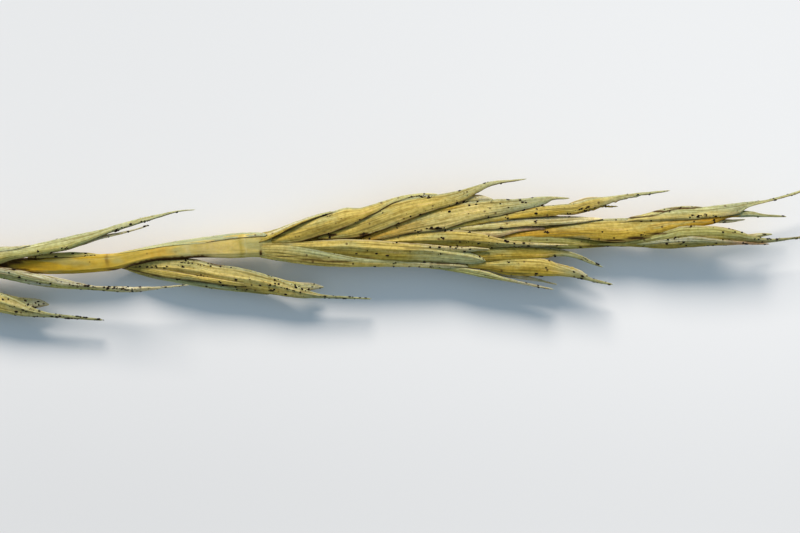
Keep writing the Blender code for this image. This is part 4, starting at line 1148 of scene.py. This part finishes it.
print("building the rachis")
rachisStem = buildRachis()
strips = [Husk(values, 200 + k) for k, values in enumerate(rachisStrips)]
rachisSheath = finishHusks(strips, [("rachis_sheath_strips", strips)])[0]
for piece in (rachisStem, rachisSheath):
    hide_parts("rachis")

print("building the end spikelet")
endRow = [Husk(values, k + 1) for k, values in enumerate(endHusks)]
ranks = [(rank, [husk for husk in endRow if husk.values["rank"] == rank])
         for rank in ("inner", "upper", "lower", "tip")]
pieceNames = {"inner": "end_core", "upper": "end_upper_florets", "lower": "end_lower_florets",
              "tip": "end_papery_tips"}
huskPieces = finishHusks(endRow, [(pieceNames[rank], members) for rank, members in ranks])
for piece in huskPieces:
    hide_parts("terminal_spikelet")

print("building the spikelets along the rachis")
speckGroups = {"end_specks": endRow, "rachis_specks": strips}
for number, (node, (seat, nodeX, size, spread, inset)) in enumerate(spikelets.items(), start=1):
    foot = seatFoot(seat, nodeX, inset)
    rows = topHusks if seat == "top" else sideHusks
    row = [Husk(values, number * 30 + k, foot, size, spread) for k, values in enumerate(rows)]
    rachisShadeLine = rachisShadeRows(nodeX) if seat == "side" else ()
    piece = finishHusks(row, [(node + "_husks", row)], rachisShadeLine)[0]
    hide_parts(node)
    huskPieces.append(piece)
    speckGroups[node + "_specks"] = row

print("scattering the specks")
speckPieces = []
for name, husks in speckGroups.items():
    basket = MeshBasket()
    for husk in husks:
        speckHusk(basket, husk)
    speckPieces.append(basket.build(name))
basket = MeshBasket()
placeClusters(basket, [husk for husks in speckGroups.values() for husk in husks])
speckPieces.append(basket.build("speck_clusters"))


def newMaterial(name):
    material = bpy.data.materials.new(name)
    material.use_nodes = True
    tree = material.node_tree
    shader = tree.nodes["Principled BSDF"]
    return material, tree, shader


def addNode(tree, kind, **values):
    node = tree.nodes.new(kind)
    for key, value in values.items():
        if key in node.inputs:
            node.inputs[key].default_value = value
        else:
            setattr(node, key, value)
    return node


def setSocket(tree, socket, value):
    if isinstance(value, bpy.types.NodeSocket):
        tree.links.new(value, socket)
    elif isinstance(value, (int, float)):
        socket.default_value = value
    else:
        socket.default_value = (*value, 1.0)


def mixColour(tree, factor, low, high, mode="MIX"):
    node = tree.nodes.new("ShaderNodeMix")
    node.data_type = "RGBA"
    node.blend_type = mode
    for index, value in ((0, factor), (6, low), (7, high)):
        setSocket(tree, node.inputs[index], value)
    return node.outputs[2]


def doMath(tree, operation, first, second=0.0):
    node = tree.nodes.new("ShaderNodeMath")
    node.operation = operation
    setSocket(tree, node.inputs[0], first)
    setSocket(tree, node.inputs[1], second)
    return node.outputs[0]


def remap(tree, value, low, high, toLow=0.0, toHigh=1.0):
    node = tree.nodes.new("ShaderNodeMapRange")
    node.interpolation_type = "SMOOTHSTEP"
    tree.links.new(value, node.inputs["Value"])
    node.inputs["From Min"].default_value = low
    node.inputs["From Max"].default_value = high
    node.inputs["To Min"].default_value = toLow
    node.inputs["To Max"].default_value = toHigh
    return node.outputs["Result"]


def streaks(tree, scaleAcross, scaleAlong, detail=4.0, shift=0.0):
    # Noise drawn out along the blade
    uv = addNode(tree, "ShaderNodeUVMap", uv_map="grain")
    mapping = tree.nodes.new("ShaderNodeMapping")
    mapping.inputs["Scale"].default_value = (scaleAcross, scaleAlong, 1.0)
    mapping.inputs["Location"].default_value = (shift, shift * 0.7, 0.0)
    tree.links.new(uv.outputs["UV"], mapping.inputs["Vector"])
    texture = addNode(tree, "ShaderNodeTexNoise", Scale=1.0, Detail=detail, Roughness=0.6)
    tree.links.new(mapping.outputs["Vector"], texture.inputs["Vector"])
    return texture.outputs["Fac"]


def objectNoise(tree, scale, detail=3.0):
    place = tree.nodes.new("ShaderNodeTexCoord")
    texture = addNode(tree, "ShaderNodeTexNoise", Scale=scale, Detail=detail, Roughness=0.55)
    tree.links.new(place.outputs["Object"], texture.inputs["Vector"])
    return texture.outputs["Fac"]


def splitLayer(tree, name):
    layer = addNode(tree, "ShaderNodeAttribute", attribute_name=name)
    parts = tree.nodes.new("ShaderNodeSeparateColor")
    tree.links.new(layer.outputs["Color"], parts.inputs["Color"])
    return [parts.outputs[name] for name in ("Red", "Green", "Blue")]


def nerveLines(tree, sharpness):
    # 1 in the furrow between two nerves, 0 on a nerve
    uv = addNode(tree, "ShaderNodeUVMap", uv_map="blade")
    parts = tree.nodes.new("ShaderNodeSeparateXYZ")
    tree.links.new(uv.outputs["UV"], parts.inputs["Vector"])
    wander = doMath(tree, "SUBTRACT", streaks(tree, 1.6, 0.5, shift=4.0), 0.5)
    wander = doMath(tree, "MULTIPLY", wander, 2.4)
    phase = doMath(tree, "MULTIPLY", doMath(tree, "ADD", parts.outputs["X"], wander), 2 * math.pi)
    wave = doMath(tree, "MULTIPLY", doMath(tree, "COSINE", phase), -1.0)
    return remap(tree, wave, sharpness, 1.0)


def speckMask(tree, cellsPerMetre, radius, spread):
    # Faint dots in the surface, between the larger specks
    place = tree.nodes.new("ShaderNodeTexCoord")
    cells = addNode(tree, "ShaderNodeTexVoronoi", Scale=cellsPerMetre, Randomness=1.0)
    tree.links.new(place.outputs["Object"], cells.inputs["Vector"])
    dot = remap(tree, cells.outputs["Distance"], radius, radius * 0.45)
    chosen = tree.nodes.new("ShaderNodeSeparateColor")
    tree.links.new(cells.outputs["Color"], chosen.inputs["Color"])
    return doMath(tree, "MULTIPLY", dot, remap(tree, chosen.outputs["Red"], spread, spread - 0.05))


grassLook = {
    "furrow": (0.105, 0.075, 0.014),
    "veinLine": (0.185, 0.145, 0.030),
    "margin": (0.50, 0.42, 0.25),
    # crack is the colour of painted shade in the gaps, brown as dirt gathers there too
    "crack": (0.064, 0.029, 0.005),
    "dot": (0.06, 0.026, 0.009),
    "pinkStreak": (0.52, 0.34, 0.20),
    "greenCloud": (0.34, 0.36, 0.16),
    "brighter": (1.34, 1.30, 1.22),    # these four multiply the colour under them
    "duller": (0.70, 0.67, 0.55),
    "darker": (0.64, 0.58, 0.42),
    "lighter": (1.26, 1.26, 1.34),
    "mottleScale": 7000.0,    # to a metre, as is the next
    "dotScale": 4200.0,
    "gloss": 0.10,
    "bumpDepth": 0.000012,
    "shadeDistance": 0.00018,
    "glowWeight": 0.30,       # light let through the papery blades
    "glowDepth": 0.00035,
}


def grassMaterial(name, rough, streakDepth, veinDepth, mottleDepth, marginDepth):
    material, tree, shader = newMaterial(name)
    look = grassLook
    layer = addNode(tree, "ShaderNodeAttribute", attribute_name="paint")
    colour = layer.outputs["Color"]
    crack, pale, nerve = splitLayer(tree, "marks")
    broad = streaks(tree, 3.4, 0.40, shift=2.0)
    fine = streaks(tree, 19.0, 0.8, detail=5.0, shift=5.0)
    cloud = streaks(tree, 2.6, 0.55, detail=2.0, shift=13.0)
    mottle = objectNoise(tree, look["mottleScale"], 4.0)
    colour = mixColour(tree, remap(tree, broad, 0.35, 0.65, 0.0, 1.0), colour,
                       mixColour(tree, 1.0, colour, look["brighter"], "MULTIPLY"))
    colour = mixColour(tree, remap(tree, broad, 0.56, 0.74, 0.0, 0.45), colour, look["pinkStreak"])
    colour = mixColour(tree, remap(tree, cloud, 0.52, 0.68, 0.0, 0.50), colour, look["greenCloud"])
    dull = mixColour(tree, 1.0, colour, look["duller"], "MULTIPLY")
    colour = mixColour(tree, remap(tree, mottle, 0.56, 0.40, 0.0, mottleDepth), colour, dull)
    darker = mixColour(tree, 1.0, colour, look["darker"], "MULTIPLY")
    colour = mixColour(tree, remap(tree, fine, 0.50, 0.36, 0.0, streakDepth), colour, darker)
    lighter = mixColour(tree, 1.0, colour, look["lighter"], "MULTIPLY")
    colour = mixColour(tree, remap(tree, fine, 0.53, 0.66, 0.0, streakDepth), colour, lighter)
    vein = streaks(tree, 8.0, 0.30, detail=2.0, shift=7.0)
    colour = mixColour(tree, remap(tree, vein, 0.44, 0.35, 0.0, veinDepth), colour, look["veinLine"])
    furrow = doMath(tree, "MULTIPLY", nerveLines(tree, 0.55), remap(tree, broad, 0.38, 0.62, 0.10, 1.0))
    furrow = doMath(tree, "MULTIPLY", furrow, doMath(tree, "MULTIPLY", nerve, 0.34))
    colour = mixColour(tree, furrow, colour, look["furrow"])
    colour = mixColour(tree, doMath(tree, "MULTIPLY", pale, marginDepth), colour, look["margin"])
    dots = speckMask(tree, look["dotScale"], 0.30, 0.16)
    colour = mixColour(tree, doMath(tree, "MULTIPLY", dots, 0.75), colour, look["dot"])
    # Painted shade: ambient occlusion darkens the colour in creases and under margins, and the crack mark
    # adds the painted shade of the gaps
    shade = addNode(tree, "ShaderNodeAmbientOcclusion", Distance=look["shadeDistance"])
    shade.samples = 8
    dark = remap(tree, shade.outputs["AO"], 0.45, 0.08, 0.0, 0.60)
    colour = mixColour(tree, dark, colour, look["crack"])
    colour = mixColour(tree, crack, colour, look["crack"])
    tree.links.new(colour, shader.inputs["Base Color"])
    tree.links.new(remap(tree, fine, 0.3, 0.7, rough + 0.10, rough - 0.06), shader.inputs["Roughness"])
    bump = addNode(tree, "ShaderNodeBump", Strength=0.6, Distance=look["bumpDepth"])
    tree.links.new(streaks(tree, 30.0, 1.2, detail=3.0, shift=9.0), bump.inputs["Height"])
    tree.links.new(bump.outputs["Normal"], shader.inputs["Normal"])
    shader.inputs["Specular IOR Level"].default_value = look["gloss"]
    shader.inputs["Subsurface Weight"].default_value = look["glowWeight"]
    shader.inputs["Subsurface Radius"].default_value = (1.0, 0.75, 0.30)
    shader.inputs["Subsurface Scale"].default_value = look["glowDepth"]
    return material


def speckMaterial():
    material, tree, shader = newMaterial("dark_specks")
    cloud = objectNoise(tree, speckLook["cloudScale"])
    colour = mixColour(tree, remap(tree, cloud, 0.35, 0.70), speckLook["black"], speckLook["brown"])
    tree.links.new(colour, shader.inputs["Base Color"])
    tree.links.new(remap(tree, cloud, 0.3, 0.7, 0.95, 0.8), shader.inputs["Roughness"])
    shader.inputs["Specular IOR Level"].default_value = grassLook["gloss"]
    return material


huskFinish = {"rough": 0.62, "streakDepth": 0.85, "veinDepth": 0.7, "mottleDepth": 0.65,
              "marginDepth": 0.55}
rachisFinish = {"rough": 0.55, "streakDepth": 0.35, "veinDepth": 0.20, "mottleDepth": 0.20,
                "marginDepth": 0.6}

print("making the materials")
paperyHusk = grassMaterial("papery_husk", **huskFinish)
goldenRachis = grassMaterial("golden_rachis", **rachisFinish)
speckPaint = speckMaterial()
for piece in huskPieces:
    piece.data.materials.append(paperyHusk)
    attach(piece, "root")
for piece in (rachisStem, rachisSheath):
    piece.data.materials.append(goldenRachis)
    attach(piece, "root")
for piece in speckPieces:
    piece.data.materials.append(speckPaint)
    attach(piece, "root")

# Floor, light and camera
studio = {
    "floorHalf": 2.0,
    "floorColour": (0.81, 0.81, 0.81),
    # painted light: the floor's colour is graded as light that falls unevenly on it
    "floorRise": (0.965, 1.035),   # its brightness from the picture's left to its right
    "floorFall": (0.90, 1.0),      # and from its bottom to its middle
    "floorAcross": (-11.0, 22.4),  # the picture's left and right
    "floorUp": (-12.0, 0.0),       # and its bottom and middle
    "floorRough": 0.85,
    "floorGloss": 0.1,
    "sunStrength": 4.50,
    "sunColour": (1.0, 0.895, 0.805),
    "sunAngle": 22.0,
    "sunFromTop": 60.0,
    "sunTurn": 3.0,
    "skyColour": (0.645, 0.835, 1.0),
    "skyStrength": 0.49,
    "frameWidth": 800 / 24,       # millimetres across the picture
    "frameMiddle": (5.75, -0.896),
    "lens": 200.0,
    "sensor": 36.0,
}


def buildFloor():
    half = studio["floorHalf"]
    mesh = bpy.data.meshes.new("floor")
    mesh.from_pydata([(-half, -half, 0), (half, -half, 0), (half, half, 0), (-half, half, 0)], [],
                     [(0, 1, 2, 3)])
    floor = bpy.data.objects.new("floor", mesh)
    bpy.context.scene.collection.objects.link(floor)
    material, tree, shader = newMaterial("pale_surface")
    place = tree.nodes.new("ShaderNodeTexCoord")
    parts = tree.nodes.new("ShaderNodeSeparateXYZ")
    tree.links.new(place.outputs["Object"], parts.inputs["Vector"])
    left, right = [inPlant(x, 0, 0).x for x in studio["floorAcross"]]
    bottom, middle = [inPlant(0, y, 0).y for y in studio["floorUp"]]
    # Painted light: the floor's colour grows brighter toward the right and toward the middle
    rise = remap(tree, parts.outputs["X"], left, right, *studio["floorRise"])
    fall = remap(tree, parts.outputs["Y"], bottom, middle, *studio["floorFall"])
    paintedLightGrade = doMath(tree, "MULTIPLY", rise, fall)
    tree.links.new(mixColour(tree, 1.0, studio["floorColour"], paintedLightGrade, "MULTIPLY"),
                   shader.inputs["Base Color"])
    shader.inputs["Roughness"].default_value = studio["floorRough"]
    shader.inputs["Specular IOR Level"].default_value = studio["floorGloss"]
    mesh.materials.append(material)


def buildLight():
    sun = bpy.data.lights.new("key", "SUN")
    sun.energy = studio["sunStrength"]
    sun.color = studio["sunColour"]
    sun.angle = math.radians(studio["sunAngle"])
    key = bpy.data.objects.new("key", sun)
    key.rotation_euler = (-math.radians(studio["sunFromTop"]), 0, math.radians(studio["sunTurn"]))
    bpy.context.scene.collection.objects.link(key)
    world = bpy.data.worlds.new("sky")
    world.use_nodes = True
    background = world.node_tree.nodes["Background"]
    background.inputs["Color"].default_value = (*studio["skyColour"], 1.0)
    background.inputs["Strength"].default_value = studio["skyStrength"]
    bpy.context.scene.world = world


def buildCamera():
    camera = bpy.data.cameras.new("camera")
    camera.lens = studio["lens"]
    camera.sensor_width = studio["sensor"]
    camera.clip_start = 0.001
    camera.clip_end = 20.0
    distance = studio["frameWidth"] * studio["lens"] / studio["sensor"]
    viewer = bpy.data.objects.new("camera", camera)
    viewer.location = inPlant(*studio["frameMiddle"], distance)
    bpy.context.scene.collection.objects.link(viewer)
    bpy.context.scene.camera = viewer


print("setting the stage")
buildFloor()
buildLight()
buildCamera()
bpy.context.scene.view_settings.view_transform = "Standard"
